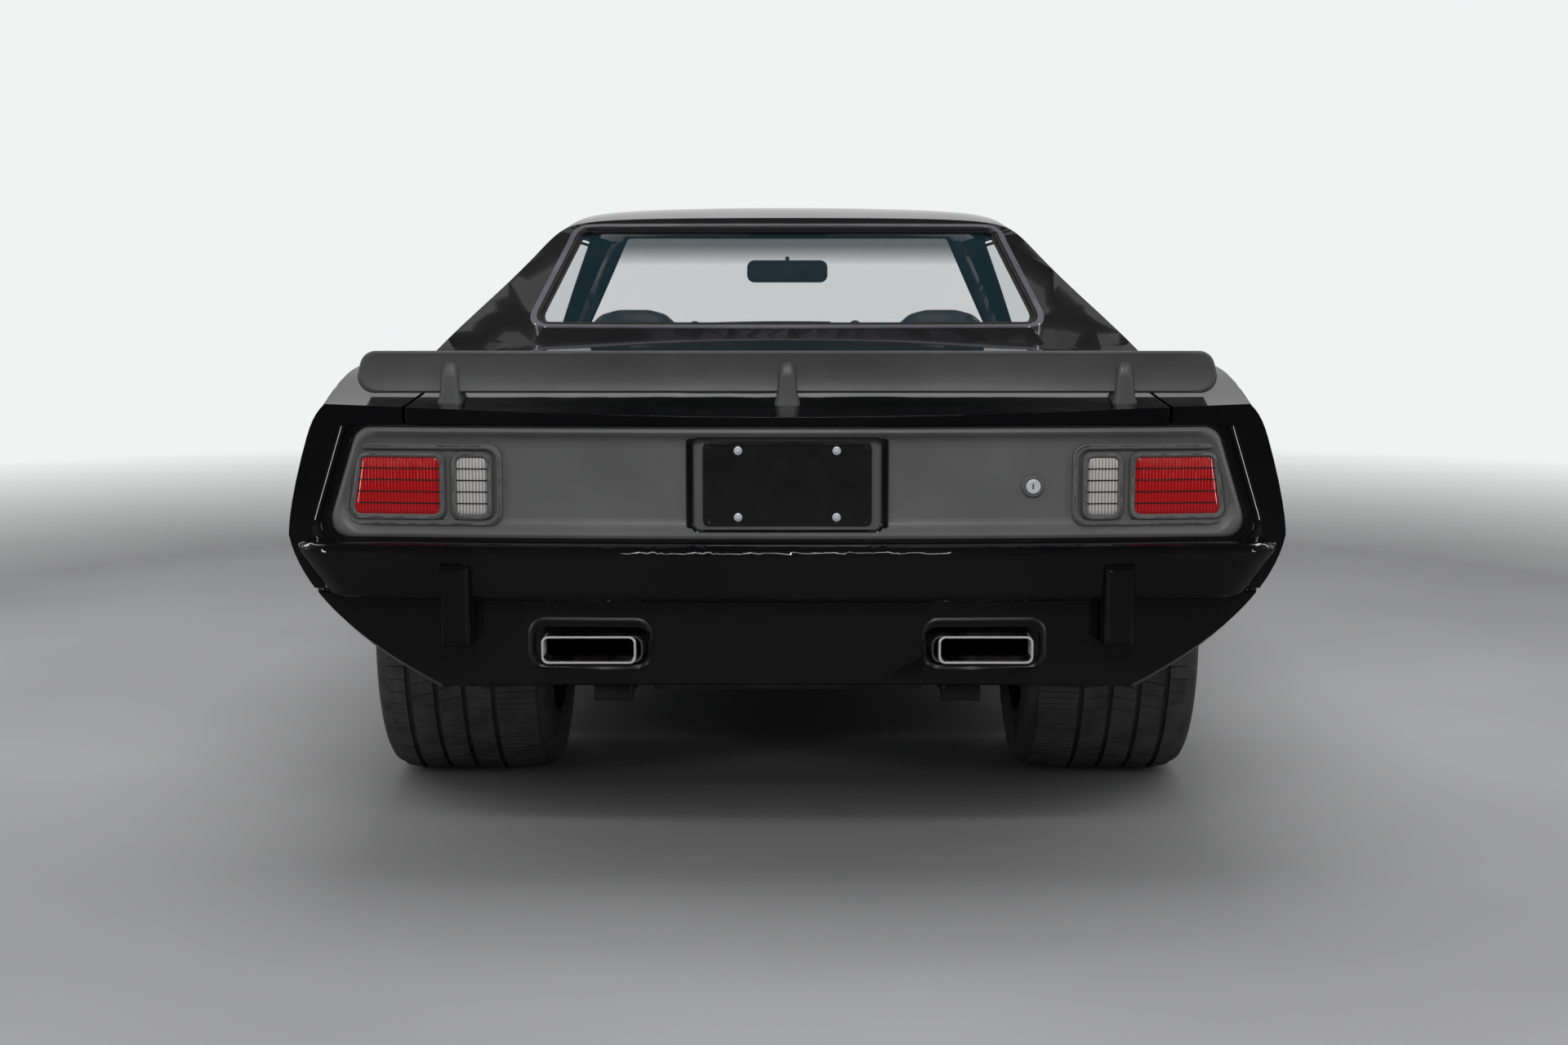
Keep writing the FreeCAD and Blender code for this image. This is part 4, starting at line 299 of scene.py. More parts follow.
# %% Metals
cast = finish("cast_iron", (0.16, 0.155, 0.15), tones=((12.0, 6), (0.09, 0.08, 0.075), (0.20, 0.19, 0.18)),
              grain=((300.0, 3), 0.3, 0.001), Metallic=1.0, Roughness=0.6)
steel = finish("exhaust_steel", (0.45, 0.44, 0.42), tones=((7.0, 5), (0.22, 0.20, 0.18), (0.50, 0.48, 0.45)),
               rough=((30.0, 3, (1, 0.05, 1)), 0.22, 0.42), grain=((500.0, 2, (1, 0.04, 1)), 0.08, 0.0005),
               Metallic=1.0, Roughness=0.3)
chrome = finish("chrome", grey(0.75, 0.01), rough=((60.0, 3), 0.04, 0.12), Metallic=1.0, Roughness=0.07)
alloy = finish("wheel_alloy", (0.50, 0.51, 0.53), tones=((10.0, 4), (0.44, 0.45, 0.46), (0.60, 0.61, 0.62)),
               rough=((60.0, 3), 0.14, 0.30), grain=((700.0, 1), 0.05, 0.0004), Metallic=1.0, Roughness=0.22)
dark_alloy = finish("wheel_dark", grey(0.03, 0.002), tones=((9.0, 4), grey(0.020, 0.002), grey(0.045, 0.003)),
                    grain=((500.0, 2), 0.12, 0.0005), Metallic=0.6, Roughness=0.4)
print("with metals:", len(bpy.data.materials))

# %% [markdown]
# Rubber, plastic, vinyl and glass. Glass is drawn with transparency rather than refraction: a
# Layer Weight makes it clearer where it is seen head on and more mirror-like toward its edges, as
# a window is, and light still gets into the cabin.

# %% Rubber, plastic, vinyl
rubber = finish("tyre_rubber", grey(0.045), tones=((22.0, 6), grey(0.036), (0.060, 0.059, 0.058)),
                rough=((40.0, 4), 0.6, 0.85), grain=((420.0, 3), 0.25, 0.0008), Roughness=0.70)
seal = finish("window_rubber", grey(0.008), rough=((50.0, 3), 0.30, 0.5), grain=((300.0, 2), 0.08, 0.0005),
              Roughness=0.38)
cabin = finish("cabin_plastic", grey(0.022, 0.001), tones=((12.0, 4), grey(0.017, 0.001), grey(0.03, 0.001)),
               Roughness=0.55)
vinyl = finish("seat_vinyl", (0.020, 0.022, 0.026),
               tones=((14.0, 5), (0.014, 0.015, 0.018), (0.030, 0.033, 0.040)), Roughness=0.42, Sheen_Weight=0.15)
for material, scale, strength, depth in ((cabin, 700, 0.25, 0.0005), (vinyl, 420, 0.35, 0.0006)):
    place = object_coordinates(material)
    pebbles = add_node(material.node_tree, "ShaderNodeTexVoronoi", {"Vector": place, "Scale": scale})
    bump(material, pebbles.outputs["Distance"], strength, depth)
print("with rubber and plastic:", len(bpy.data.materials))

# %% [markdown]
# The windshield has a blue band along its top. Its share grows with the height on the car, and it
# changes both the colour and how much light gets through. The lamps' ribs are a Wave texture.

# %% Glass and lenses
GLASS_TINT = (0.020, 0.050, 0.064)
BAND_TINT = (0.016, 0.070, 0.110)
BAND_LOW, BAND_HIGH = 1.115, 1.185


def glass(name, color, clear, mirror):
    """Clear where it is seen head on, more of a mirror toward its edges."""
    material = finish(name, color, Roughness=0.02, IOR=1.45)
    facing = add_node(material.node_tree, "ShaderNodeLayerWeight", {"Blend": 0.25}).outputs["Facing"]
    drive(material, spread(material, facing, clear, mirror, 0.0, 1.0), "Alpha")
    material.blend_method = "BLEND"
    return material


tinted = glass("tinted_glass", GLASS_TINT, 0.05, 0.24)
banded = glass("windshield_glass", GLASS_TINT, 0.05, 0.22)
height = add_node(banded.node_tree, "ShaderNodeSeparateXYZ", {0: object_coordinates(banded)}).outputs["Z"]
band = spread(banded, height, 0.0, 1.0, BAND_LOW, BAND_HIGH)
two_tone(banded, band, GLASS_TINT, BAND_TINT, 0.0, 0.8)
blocked = spread(banded, band, 0.0, 0.62, 0.0, 1.0)
drive(banded, reckon(banded.node_tree, "MAXIMUM", fed_by(banded, "Alpha"), blocked), "Alpha")
lamp_glass = glass("lamp_glass", (0.85, 0.88, 0.9), 0.25, 0.9)


def ribbed(name, color, **sockets):
    """Moulded lens: upright ribs seen as bump, and as painted shade that darkens each rib's trough."""
    material = finish(name, color, Coat_Weight=1.0, Coat_Roughness=0.04, **sockets)
    values = {"Vector": object_coordinates(material), "Scale": 52, "Distortion": 0.0}
    ribs = add_node(material.node_tree, "ShaderNodeTexWave", values, bands_direction="X").outputs["Fac"]
    # Painted shade: the colour darkens to under half in each rib's trough.
    two_tone(material, ribs, tuple(c * 0.45 for c in color), color, 0.0, 0.9)
    bump(material, ribs, 0.6, 0.002)
    return material


red_lens = ribbed("red_lens", (0.42, 0.004, 0.006), Roughness=0.12)
clear_lens = ribbed("clear_lens", (0.43, 0.42, 0.41), Roughness=0.15)
plate_finish = finish("plate_black", grey(0.006, 0.0005), rough=((25.0, 4), 0.14, 0.32), grain=((120.0, 2), 0.02),
                      Roughness=0.2, Coat_Weight=0.8, Coat_Roughness=0.06)
print("with glass and lenses:", len(bpy.data.materials))

# %% [markdown]
# Near the car the floor is grey and catches shadows. Farther off it fades into the white of the wall,
# but only for the camera, so it adds no light. In the paint's reflections it is darker.

# %% Floor finish
FADE_START, FADE_END = 3.2, 7.5
floor_finish = finish("floor", grey(0.22, 0.005), tones=((0.6, 3), grey(0.21, 0.003), grey(0.24, 0.003)),
                      Roughness=0.7, Specular_IOR_Level=0.2)
tree = floor_finish.node_tree
sight = add_node(tree, "ShaderNodeLightPath").outputs
away = add_node(tree, "ShaderNodeVectorMath", {0: object_coordinates(floor_finish)}, operation="LENGTH")
fade = spread(floor_finish, away.outputs["Value"], 0.0, 1.0, FADE_START, FADE_END)
fade = reckon(tree, "MULTIPLY", fade, sight["Is Camera Ray"])
white = add_node(tree, "ShaderNodeEmission", {"Color": WALL_WHITE}).outputs[0]
surface = mix_shaders(tree, fade, shader_of(floor_finish).outputs[0], white)
tree.links.new(surface, tree.nodes["Material Output"].inputs[0])
values = {"Factor": sight["Is Glossy Ray"], "A": fed_by(floor_finish, "Base Color"), "B": (0.06, 0.06, 0.062, 1)}
dimmed = add_node(tree, "ShaderNodeMix", values, data_type="RGBA")
drive(floor_finish, dimmed.outputs["Result"], "Base Color")
floor_mesh.materials.append(floor_finish)
print("the floor fades from", FADE_START, "to", FADE_END, "m")

# %% [markdown]
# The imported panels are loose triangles. Where a panel is painted gloss, its copy is welded and
# shaded smooth up to an angle, so that a highlight runs over it without breaks; the copy then
# stands for the panel. The other nodes keep their shape and only get their finish.


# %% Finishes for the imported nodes
def coat(mesh, material):
    """Give a mesh one material and no other."""
    mesh.materials.clear()
    mesh.materials.append(material)


def body_of(node):
    """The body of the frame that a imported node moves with."""
    return nodes[node]["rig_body"]


def new_piece(name, mesh, material, body, slot):
    """A piece of the scene's own that rides on a body and has its finish; the slot is not used."""
    mesh.name = name
    piece = in_scene(name, mesh)
    coat(mesh, material)
    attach(piece, body)
    return piece


def smooth(mesh, sharp):
    """Shade the faces smooth, except over edges that bend more than an angle."""
    for face in mesh.polygons:
        face.use_smooth = True
    mesh.set_sharp_from_angle(angle=math.radians(sharp))
    return mesh


def modify(piece, name, kind, **settings):
    """Add a modifier and set it."""
    modifier = piece.modifiers.new(name, kind)
    for key, value in settings.items():
        setattr(modifier, key, value)
    return modifier


def settle(piece, sharp=35):
    """Replace a piece's mesh by what its modifiers give, and take the modifiers off."""
    evaluated = piece.evaluated_get(bpy.context.evaluated_depsgraph_get())
    mesh = bpy.data.meshes.new_from_object(evaluated)
    piece.modifiers.clear()
    old = piece.data
    piece.data = mesh
    bpy.data.meshes.remove(old)
    mesh.name = piece.name
    smooth(mesh, sharp)


PLAIN = (
    (undercoat, "floor_pan front_structure trunk_floor front_suspension rear_axle leaf_springs fuel_tank"),
    (cast, "knuckle_left knuckle_right"), (block_paint, "engine"), (steel, "exhaust"),
    (satin, "tail_panel lamp_bezels grille"), (red_lens, "tail_lamps"), (clear_lens, "reverse_lamps"),
    (lamp_glass, "headlamps"), (plate_finish, "bare_plate"), (banded, "windshield"),
    (tinted, "rear_window quarter_windows door_glass_left door_glass_right"),
    (cabin, "dashboard steering_wheel inside_mirror"), (vinyl, "front_seats rear_seat"),
    (rubber, "tyre_front_left tyre_front_right tyre_rear_left tyre_rear_right"),
    (alloy, "rim_front_left rim_front_right rim_rear_left rim_rear_right"),
)
for material, names in PLAIN:
    for node in names.split():
        coat(nodes[node].data, material)
print("unpainted nodes coated:", sum(len(names.split()) for material, names in PLAIN))

# %% [markdown]
# Reflections show every small break in a surface. So a painted panel's copy gets rounded edges, and then
# each corner's normal is blended with the normals beside it, as long as they nearly agree.


# %% Normals that run on
WIDEST_BEND = 8.0


def even_normals(mesh, rounds=14, reach=0.06):
    """Blend each corner's normal with its neighbours' where the bend between them is small."""
    count = len(mesh.loops)
    normal = np.empty(count * 3)
    mesh.corner_normals.foreach_get("vector", normal)
    normal = normal.reshape(-1, 3)
    point = np.empty(count, dtype=int)
    mesh.loops.foreach_get("vertex_index", point)
    # Corners at one point with one normal share a fan: only fans inside one smooth surface are blended.
    rounded = np.round(normal * 200).astype(int)
    fans, fan = np.unique(np.column_stack([point, rounded]), axis=0, return_inverse=True)
    fan = fan.ravel()
    after = np.arange(1, count + 1)
    for face in mesh.polygons:
        after[face.loop_start + face.loop_total - 1] = face.loop_start
    place = np.empty(len(mesh.vertices) * 3)
    mesh.vertices.foreach_get("co", place)
    place = place.reshape(-1, 3)
    span = np.linalg.norm(place[point] - place[point[after]], axis=1)
    pull = (reach / (reach + span))[:, None]
    held = np.zeros((len(fans), 3))
    np.add.at(held, fan, normal)
    held /= np.linalg.norm(held, axis=1)[:, None]
    one, other = fan, fan[after]
    for _ in range(rounds):
        near = (held[one] * held[other]).sum(axis=1) > math.cos(math.radians(WIDEST_BEND))
        total = held.copy()
        np.add.at(total, one[near], held[other[near]] * pull[near])
        np.add.at(total, other[near], held[one[near]] * pull[near])
        held = total / np.linalg.norm(total, axis=1)[:, None]
    mesh.normals_split_custom_set(held[fan].tolist())


print("normals are blended over bends up to", WIDEST_BEND, "degrees")

# %% [markdown]
# The imported triangles share no points, so they are merged before anything is smoothed. A small bevel then
# gives each edge a line of light, and weighted normals keep the flat faces flat.

# %% Painted panels
SAME_POINT = 0.00002
USUAL_EDGE = 0.0025


def merged(node):
    """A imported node's loose triangles, joined at the points that they share."""
    bm = bmesh.new()
    bm.from_mesh(nodes[node].data)
    bmesh.ops.remove_doubles(bm, verts=bm.verts, dist=SAME_POINT)
    return bm


def welded(node, material, slot, edge=USUAL_EDGE, sharp=28):
    """A copy of an imported panel with its points merged, its edges rounded and its faces smooth."""
    bm = merged(node)
    mesh = bpy.data.meshes.new(node + "_skin")
    bm.to_mesh(mesh)
    bm.free()
    piece = new_piece(node + "_skin", mesh, material, body_of(node), slot)
    if edge:
        modify(piece, "round_edges", "BEVEL", width=edge, segments=3, limit_method="ANGLE",
               angle_limit=math.radians(sharp))
    modify(piece, "weighted", "WEIGHTED_NORMAL", keep_sharp=True)
    settle(piece, sharp)
    even_normals(piece.data)
    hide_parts(node)
    return piece


PAINTED = ("fender_left fender_right nose_panel hood cowl door_left door_right quarter_left quarter_right "
           "deck_panel trunk_lid roof rear_bumper front_bumper rear_valance front_valance").split()
EDGES = {"roof": 0, "rear_bumper": 0.0065, "rear_valance": 0.006, "front_bumper": 0.005, "front_valance": 0.005}
skins = [welded(node, gloss, "black_gloss", EDGES.get(node, USUAL_EDGE)) for node in PAINTED]
print("panels welded:", len(skins), "largest:", max(len(piece.data.polygons) for piece in skins))

# %% [markdown]
# Much of the tail is rounded frames set into each other: the painted surround, the dished satin panel,
# the lamp rings, the plate's frame, the exhaust mouths. One helper gives a rounded outline moved
# inward by any amount, always with the same number of points. Outlines with the same number of
# points can be joined to a surface, so each frame is a short list of (inset, depth, corner radius).


# %% Rounded outlines
TAIL_Y = 2.309
TAIL_RADIUS = (1.011 ** 2 + 0.075 ** 2) / (2 * 0.075)
ARC = 7
RUN = 26


def tail_y(x, depth=0.0):
    """The bow of the tail, seen from above."""
    return TAIL_Y - TAIL_RADIUS + math.sqrt(TAIL_RADIUS ** 2 - x * x) - depth


def rounded_ring(corners, inset, radius, arc=ARC, run=RUN):
    """An outline moved inward, its corners rounded: arc steps round each corner, run steps along each side."""
    count = len(corners)
    moved = []
    for i in range(count):
        before, corner, after = (Vector(corners[(i + k) % count]) for k in (-1, 0, 1))
        first = (corner - before).normalized()
        second = (after - corner).normalized()
        sides = Vector((-first.y, first.x)) + Vector((-second.y, second.x))
        moved.append(corner + sides * (inset / (1 + first.dot(second))))
    arcs = []
    for i in range(count):
        corner = moved[i]
        back = (moved[i - 1] - corner).normalized()
        ahead = (moved[(i + 1) % count] - corner).normalized()
        half_angle = math.acos(max(-1, min(1, back.dot(ahead)))) / 2
        centre = corner + (back + ahead).normalized() * (radius / math.sin(half_angle))
        start = corner + back * (radius / math.tan(half_angle)) - centre
        end = corner + ahead * (radius / math.tan(half_angle)) - centre
        turn = (math.atan2(end.y, end.x) - math.atan2(start.y, start.x)) % (2 * math.pi)
        angle = math.atan2(start.y, start.x)
        arcs.append([centre + Vector((math.cos(angle + turn * k / arc), math.sin(angle + turn * k / arc))) * radius
                     for k in range(arc + 1)])
    ring = []
    for i in range(count):
        ring += arcs[i] + [arcs[i][-1].lerp(arcs[(i + 1) % count][0], k / run) for k in range(1, run)]
    return ring


print("the tail bows by", round(tail_y(0) - tail_y(1), 3), "m")

# %% [markdown]
# Rows of points become a skin of four-sided faces. Each open end is closed by one face or, where a ring
# has four long sides, by strips from side to side, so that the end bends with the tail.


# %% Surfaces through rows of points
def fill_ring(bm, ring, arc=ARC, run=RUN):
    """Close a ring of four sides by strips from its low side to its high side, and two end faces."""
    step = arc + run
    low = ring[arc:step + 1]
    high = ring[2 * step + arc:3 * step + 1]
    for k in range(run):
        bm.faces.new((low[k], low[k + 1], high[run - k - 1], high[run - k]))
    bm.faces.new(ring[step:2 * step + arc + 1])
    bm.faces.new(ring[3 * step:] + ring[:arc + 1])


def join_rows(bm, rows, loop=False, ends=True):
    """Faces between rows of points that follow each other. A loop closes on itself."""
    rows = [[bm.verts.new(point) for point in row] for row in rows]
    for row, after in list(zip(rows, rows[1:])) + ([(rows[-1], rows[0])] if loop else []):
        size = len(row)
        for k in range(size):
            bm.faces.new((row[k], row[(k + 1) % size], after[(k + 1) % size], after[k]))
    if ends and not loop:
        bm.faces.new(rows[0])
        bm.faces.new(rows[-1])
    return rows


def mesh_of(bm, name, sharp=35):
    """A smooth mesh with its faces outward from what was built in a bmesh."""
    bmesh.ops.recalc_face_normals(bm, faces=bm.faces)
    mesh = bpy.data.meshes.new(name)
    bm.to_mesh(mesh)
    bm.free()
    return smooth(mesh, sharp)


def piece_of(bm, name, material, body, slot, sharp=35):
    """A piece from what was built in a bmesh."""
    return new_piece(name, mesh_of(bm, name, sharp), material, body, slot)


def join_rings(rings, name, loop=False, arc=ARC, run=RUN, sharp=35):
    """Surface through rings of 3-D points. A loop closes on itself, otherwise both ends are filled."""
    bm = bmesh.new()
    rows = join_rows(bm, rings, loop, ends=False)
    if not loop:
        fill_ring(bm, rows[0], arc, run)
        fill_ring(bm, rows[-1], arc, run)
    return mesh_of(bm, name, sharp)


def tail_rings(corners, profile, run=RUN, top=math.inf):
    """Rings that follow the bow of the tail, one for each (inset, depth, corner radius)."""
    return [[Vector((p.x, tail_y(p.x, depth), min(p.y, top)))
             for p in rounded_ring(corners, inset, radius, run=run)] for inset, depth, radius in profile]


def tail_part(name, corners, profile, material, slot, loop=True, run=RUN, top=math.inf, sharp=35):
    """A frame on the tail, or a block if it isn't a loop."""
    mesh = join_rings(tail_rings(corners, profile, run, top), name, loop, run=run, sharp=sharp)
    return new_piece(name, mesh, material, "root", slot)


def flat_rings(corners, profile, y, arc=ARC, run=RUN):
    """Rings in planes across the car, one for each (inset, depth, corner radius)."""
    return [[Vector((p.x, y - depth, p.y)) for p in rounded_ring(corners, inset, radius, arc, run)]
            for inset, depth, radius in profile]


def box_outline(half_x, low, high, middle_x=0.0):
    """The corners of a rectangle, given in the order that every outline runs."""
    left, right = middle_x - half_x, middle_x + half_x
    return [(left, low), (right, low), (right, high), (left, high)]


def both_sides(piece_maker, name):
    """Make a piece for each side; the maker is given the sign of x."""
    return [piece_maker("%s_%s" % (name, hand), sign) for hand, sign in (("left", 1), ("right", -1))]


def mirror_x(corners, sign):
    """Outline on the other side of the car, still running the same way round."""
    return corners if sign > 0 else [(-x, z) for x, z in reversed(corners)]


print("points in a ring:", len(rounded_ring(box_outline(0.1, 0, 0.1), 0, 0.01)))

# %% [markdown]
# The tail panel is one satin pressing: a wide dish whose edge rolls out to the paint. Its rings run from
# the back wall over the rolled edge down to the floor of the dish, and both ends are filled. The hollow
# for the plate is cut afterwards with a Boolean, which needs both shapes closed.

# %% Tail panel
DISH = [(-0.843, 0.645), (0.843, 0.645), (0.778, 0.850), (-0.778, 0.850)]
HOLLOW = box_outline(0.1725, 0.659, 0.831)


def cut_with(piece, cutter_mesh):
    """Take a closed shape out of a piece, and leave a plain mesh."""
    cutter = in_scene("cutter", cutter_mesh)
    modify(piece, "cut", "BOOLEAN", object=cutter, solver="EXACT")
    settle(piece)
    bpy.data.objects.remove(cutter)


panel_profile = [(0.0, 0.036, 0.034), (0.0, 0.009, 0.034), (0.0025, 0.003, 0.036), (0.006, 0.0, 0.038),
                 (0.010, -0.0005, 0.040), (0.013, 0.0015, 0.042), (0.018, 0.009, 0.042), (0.024, 0.0155, 0.040),
                 (0.031, 0.019, 0.038), (0.042, 0.0200, 0.034)]
tail_piece = tail_part("tail_panel_pressing", DISH, panel_profile, satin, "satin_black", loop=False)
cut_with(tail_piece, join_rings(tail_rings(HOLLOW, [(0, 0.031, 0.012), (0, -0.02, 0.012)]), "hollow"))
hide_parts("tail_panel")
print("tail panel faces:", len(tail_piece.data.polygons))

# %% [markdown]
# Round the panel runs a painted surround with two steps, which catches the light as thin lines. It is a
# closed loop of rings. Its upper edge is cut level below the trunk lid, which opens over it.

# %% Painted surround
LID_EDGE = 0.8515
surround_profile = [(-0.030, 0.004, 0.050), (-0.030, -0.001, 0.050), (-0.024, -0.0045, 0.048),
                    (-0.017, -0.0045, 0.046), (-0.015, -0.001, 0.044), (-0.010, -0.001, 0.042),
                    (-0.008, -0.0035, 0.040), (-0.002, -0.0035, 0.036), (0.001, 0.0005, 0.034),
                    (0.001, 0.006, 0.034), (-0.002, 0.010, 0.034)]
surround = tail_part("tail_surround", DISH, surround_profile, gloss, "black_gloss", top=LID_EDGE)
print("surround faces:", len(surround.data.polygons))

# %% [markdown]
# Each lamp has an outer ring round both lenses and a ring round each lens, raised, with a paler metal edge
# that is partly wear and partly a painted highlight. Pointiness would show wear only in renders, so the pale edge is
# its own narrow ring finish.

# %% Lamp rings
# Pale metal for the rings' edges and the plate lamp: partly wear, partly a painted highlight along each edge.
wear_and_painted_highlight = finish("edge_wear_and_painted_highlight", grey(0.30), tones=((45.0, 5), grey(0.12), (0.46, 0.46, 0.45)),
              Metallic=0.8, Roughness=0.3)

BOTH_LENSES = [(0.5145, 0.6675), (0.8115, 0.6675), (0.7925, 0.8180), (0.5145, 0.8180)]
RED = [(0.628, 0.6885), (0.788, 0.6885), (0.7715, 0.7935), (0.628, 0.7935)]
WHITE = [(0.541, 0.6885), (0.5985, 0.6885), (0.5985, 0.7935), (0.541, 0.7935)]
OUTER_RING = [(0.0, 0.021, 0.026), (0.0005, 0.0115, 0.026), (0.004, 0.0085, 0.024), (0.0085, 0.0085, 0.021),
              (0.0115, 0.0125, 0.019), (0.0115, 0.021, 0.019)]
OUTER_EDGE = [(0.0032, 0.0094, 0.0245), (0.0042, 0.0078, 0.024), (0.0056, 0.0078, 0.023), (0.0056, 0.0094, 0.023)]
LENS_RING = [(-0.0105, 0.021, 0.020), (-0.010, 0.0115, 0.020), (-0.007, 0.0065, 0.018), (-0.002, 0.0065, 0.014),
             (0.001, 0.0095, 0.011), (0.001, 0.018, 0.011)]
LENS_EDGE = [(-0.0062, 0.0074, 0.0172), (-0.0052, 0.0058, 0.0165), (-0.0034, 0.0058, 0.0155),
             (-0.0034, 0.0074, 0.0155)]
LENS_BLOCK = [(0.0004, 0.030, 0.0105), (0.0004, 0.0125, 0.0105), (0.003, 0.0105, 0.009), (0.010, 0.0098, 0.004)]
LAMP_RUN = 8


def lamp_pair(name, outline, profile, material, slot="satin_black", loop=True, sharp=30):
    """The same ring in the left and the right lamp, or the same block if it isn't a loop."""
    return both_sides(lambda name, sign: tail_part(name, mirror_x(outline, sign), profile, material, slot, loop,
                                                   run=LAMP_RUN, sharp=sharp), name)


outer_rings = lamp_pair("lamp_outer_ring", BOTH_LENSES, OUTER_RING, satin)
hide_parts("lamp_bezels")
lamp_pair("lamp_outer_edge", BOTH_LENSES, OUTER_EDGE, wear_and_painted_highlight)
for colour, outline in (("red", RED), ("white", WHITE)):
    lamp_pair(colour + "_lens_ring", outline, LENS_RING, satin)
    lamp_pair(colour + "_lens_edge", outline, LENS_EDGE, wear_and_painted_highlight)
print("faces in an outer ring:", len(outer_rings[0].data.polygons))

# %% [markdown]
# The lenses are crowned blocks of ribbed plastic with four thin dark bars across. The bars repeat upward,
# so a Geometry Nodes tree copies one bar along a line of points: its count and step are inputs.

# %% A tree that repeats a shape along a line, and one that repeats it round an axle
def tree_with(name, inputs):
    """An empty Geometry Nodes tree with named inputs, as (name, socket type)."""
    tree = bpy.data.node_groups.new(name, "GeometryNodeTree")
    for label, kind in (("Geometry", "NodeSocketGeometry"), *inputs, ("Material", "NodeSocketMaterial")):
        tree.interface.new_socket(label, in_out="INPUT", socket_type=kind)
    tree.interface.new_socket("Geometry", in_out="OUTPUT", socket_type="NodeSocketGeometry")
    return tree, tree.nodes.new("NodeGroupInput").outputs


def end_tree(tree, given, line, **turns):
    """Copies on the points of a line, made real, coated and given out."""
    places = {"Points": line.outputs["Mesh"], "Instance": given["Geometry"], **turns}
    copies = add_node(tree, "GeometryNodeInstanceOnPoints", places)
    real = add_node(tree, "GeometryNodeRealizeInstances", {0: copies.outputs["Instances"]})
    coating = {"Geometry": real.outputs[0], "Material": given["Material"]}
    coated = add_node(tree, "GeometryNodeSetMaterial", coating)
    add_node(tree, "NodeGroupOutput", {0: coated.outputs["Geometry"]})
    return tree


def line_tree():
    """Copies a shape along a straight line."""
    tree, given = tree_with("repeat_along_line", [("Count", "NodeSocketInt"), ("Step", "NodeSocketVector")])
    line = add_node(tree, "GeometryNodeMeshLine", {"Count": given["Count"], "Offset": given["Step"]})
    return end_tree(tree, given, line)


def turn_tree():
    """Copies a shape round the X axis through the origin: all points are there, each turned by its share."""
    tree, given = tree_with("repeat_round_axle", [("Count", "NodeSocketInt")])
    line = add_node(tree, "GeometryNodeMeshLine", {"Count": given["Count"], "Offset": (0, 0, 0)})
    index = add_node(tree, "GeometryNodeInputIndex").outputs[0]
    share = reckon(tree, "DIVIDE", index, given["Count"])
    turn = add_node(tree, "ShaderNodeCombineXYZ", {"X": reckon(tree, "MULTIPLY", share, 2 * math.pi)})
    return end_tree(tree, given, line, Rotation=turn.outputs[0])


LINE_TREE = line_tree()
TURN_TREE = turn_tree()


def grow(name, mesh, tree, **values):
    """Run a tree on a mesh and return the plain mesh that it gives."""
    piece = in_scene(name, mesh)
    modifier = modify(piece, "grow", "NODES", node_group=tree)
    for item in tree.interface.items_tree:
        if item.item_type == "SOCKET" and item.in_out == "INPUT" and item.name in values:
            modifier[item.identifier] = values[item.name]
    evaluated = piece.evaluated_get(bpy.context.evaluated_depsgraph_get())
    result = bpy.data.meshes.new_from_object(evaluated)
    bpy.data.objects.remove(piece)
    return result


print("trees:", [tree.name for tree in (LINE_TREE, TURN_TREE)])

# %% [markdown]
# A lens is a crowned block of ribbed plastic, made like the rings but filled. Each bar is a thin strip
# that follows the bow of the tail.


# %% Lenses and their bars
def add_bar(bm, start, end, steps, bow, section):
    """A bar across the car: a (y, z) section carried from x to x, where bow gives y."""
    places = [start + (end - start) * k / steps for k in range(steps + 1)]
    join_rows(bm, [[(x, bow(x) + a, b) for a, b in section] for x in places])


def lens_bars(outline):
    """Four bars over a lens, at equal steps up."""
    def make(name, sign):
        (inner, low), (bottom_x, _), (top_x, high), _ = outline
        step = (high - low) / 5
        bm = bmesh.new()
        add_bar(bm, sign * inner, sign * ((bottom_x + top_x) / 2 - 0.002), 10, lambda x: tail_y(x, 0.0090),
                [(-0.004, -0.0013), (0.0006, -0.0010), (0.0006, 0.0010), (-0.004, 0.0013)])
        bar = mesh_of(bm, name)
        bar.transform(Matrix.Translation((0, 0, low + step)))
        bars = grow(name, bar, LINE_TREE, Count=4, Step=(0, 0, step), Material=seal)
        return new_piece(name, bars, seal, "root", "satin_black")
    return make


for colour, outline, material, slot, node in (("red", RED, red_lens, "red_lens", "tail_lamps"),
                                              ("white", WHITE, clear_lens, "clear_lens", "reverse_lamps")):
    lenses = lamp_pair(colour + "_lens", outline, LENS_BLOCK, material, slot, loop=False, sharp=35)
    both_sides(lens_bars(outline), colour + "_lens_bars")
    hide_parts(node)
    print(colour, "lens faces:", len(lenses[0].data.polygons))

# %% [markdown]
# Screws, locks, rims and tyres are round things: a lathe helper turns a list of (radius, height) round an
# axis. Rubber gaskets and trim run along an edge: a strip helper carries a small section along points.
# Many such shapes of one finish go into one bmesh, and become one piece.

# %% Turned parts and strips
X_AXIS, Y_AXIS, Z_AXIS = (1, 0, 0), (0, 1, 0), (0, 0, 1)
ORIGIN = (0, 0, 0)


def add_lathe(bm, profile, centre, axis, segments=40, loop=False):
    """Turn (radius, height) pairs round an axis through the centre."""
    axis = Vector(axis).normalized()
    side = axis.orthogonal().normalized()
    other = axis.cross(side)
    turns = [2 * math.pi * k / segments for k in range(segments)]
    join_rows(bm, [[Vector(centre) + axis * height + (side * math.cos(a) + other * math.sin(a)) * radius
                    for a in turns] for radius, height in profile], loop)


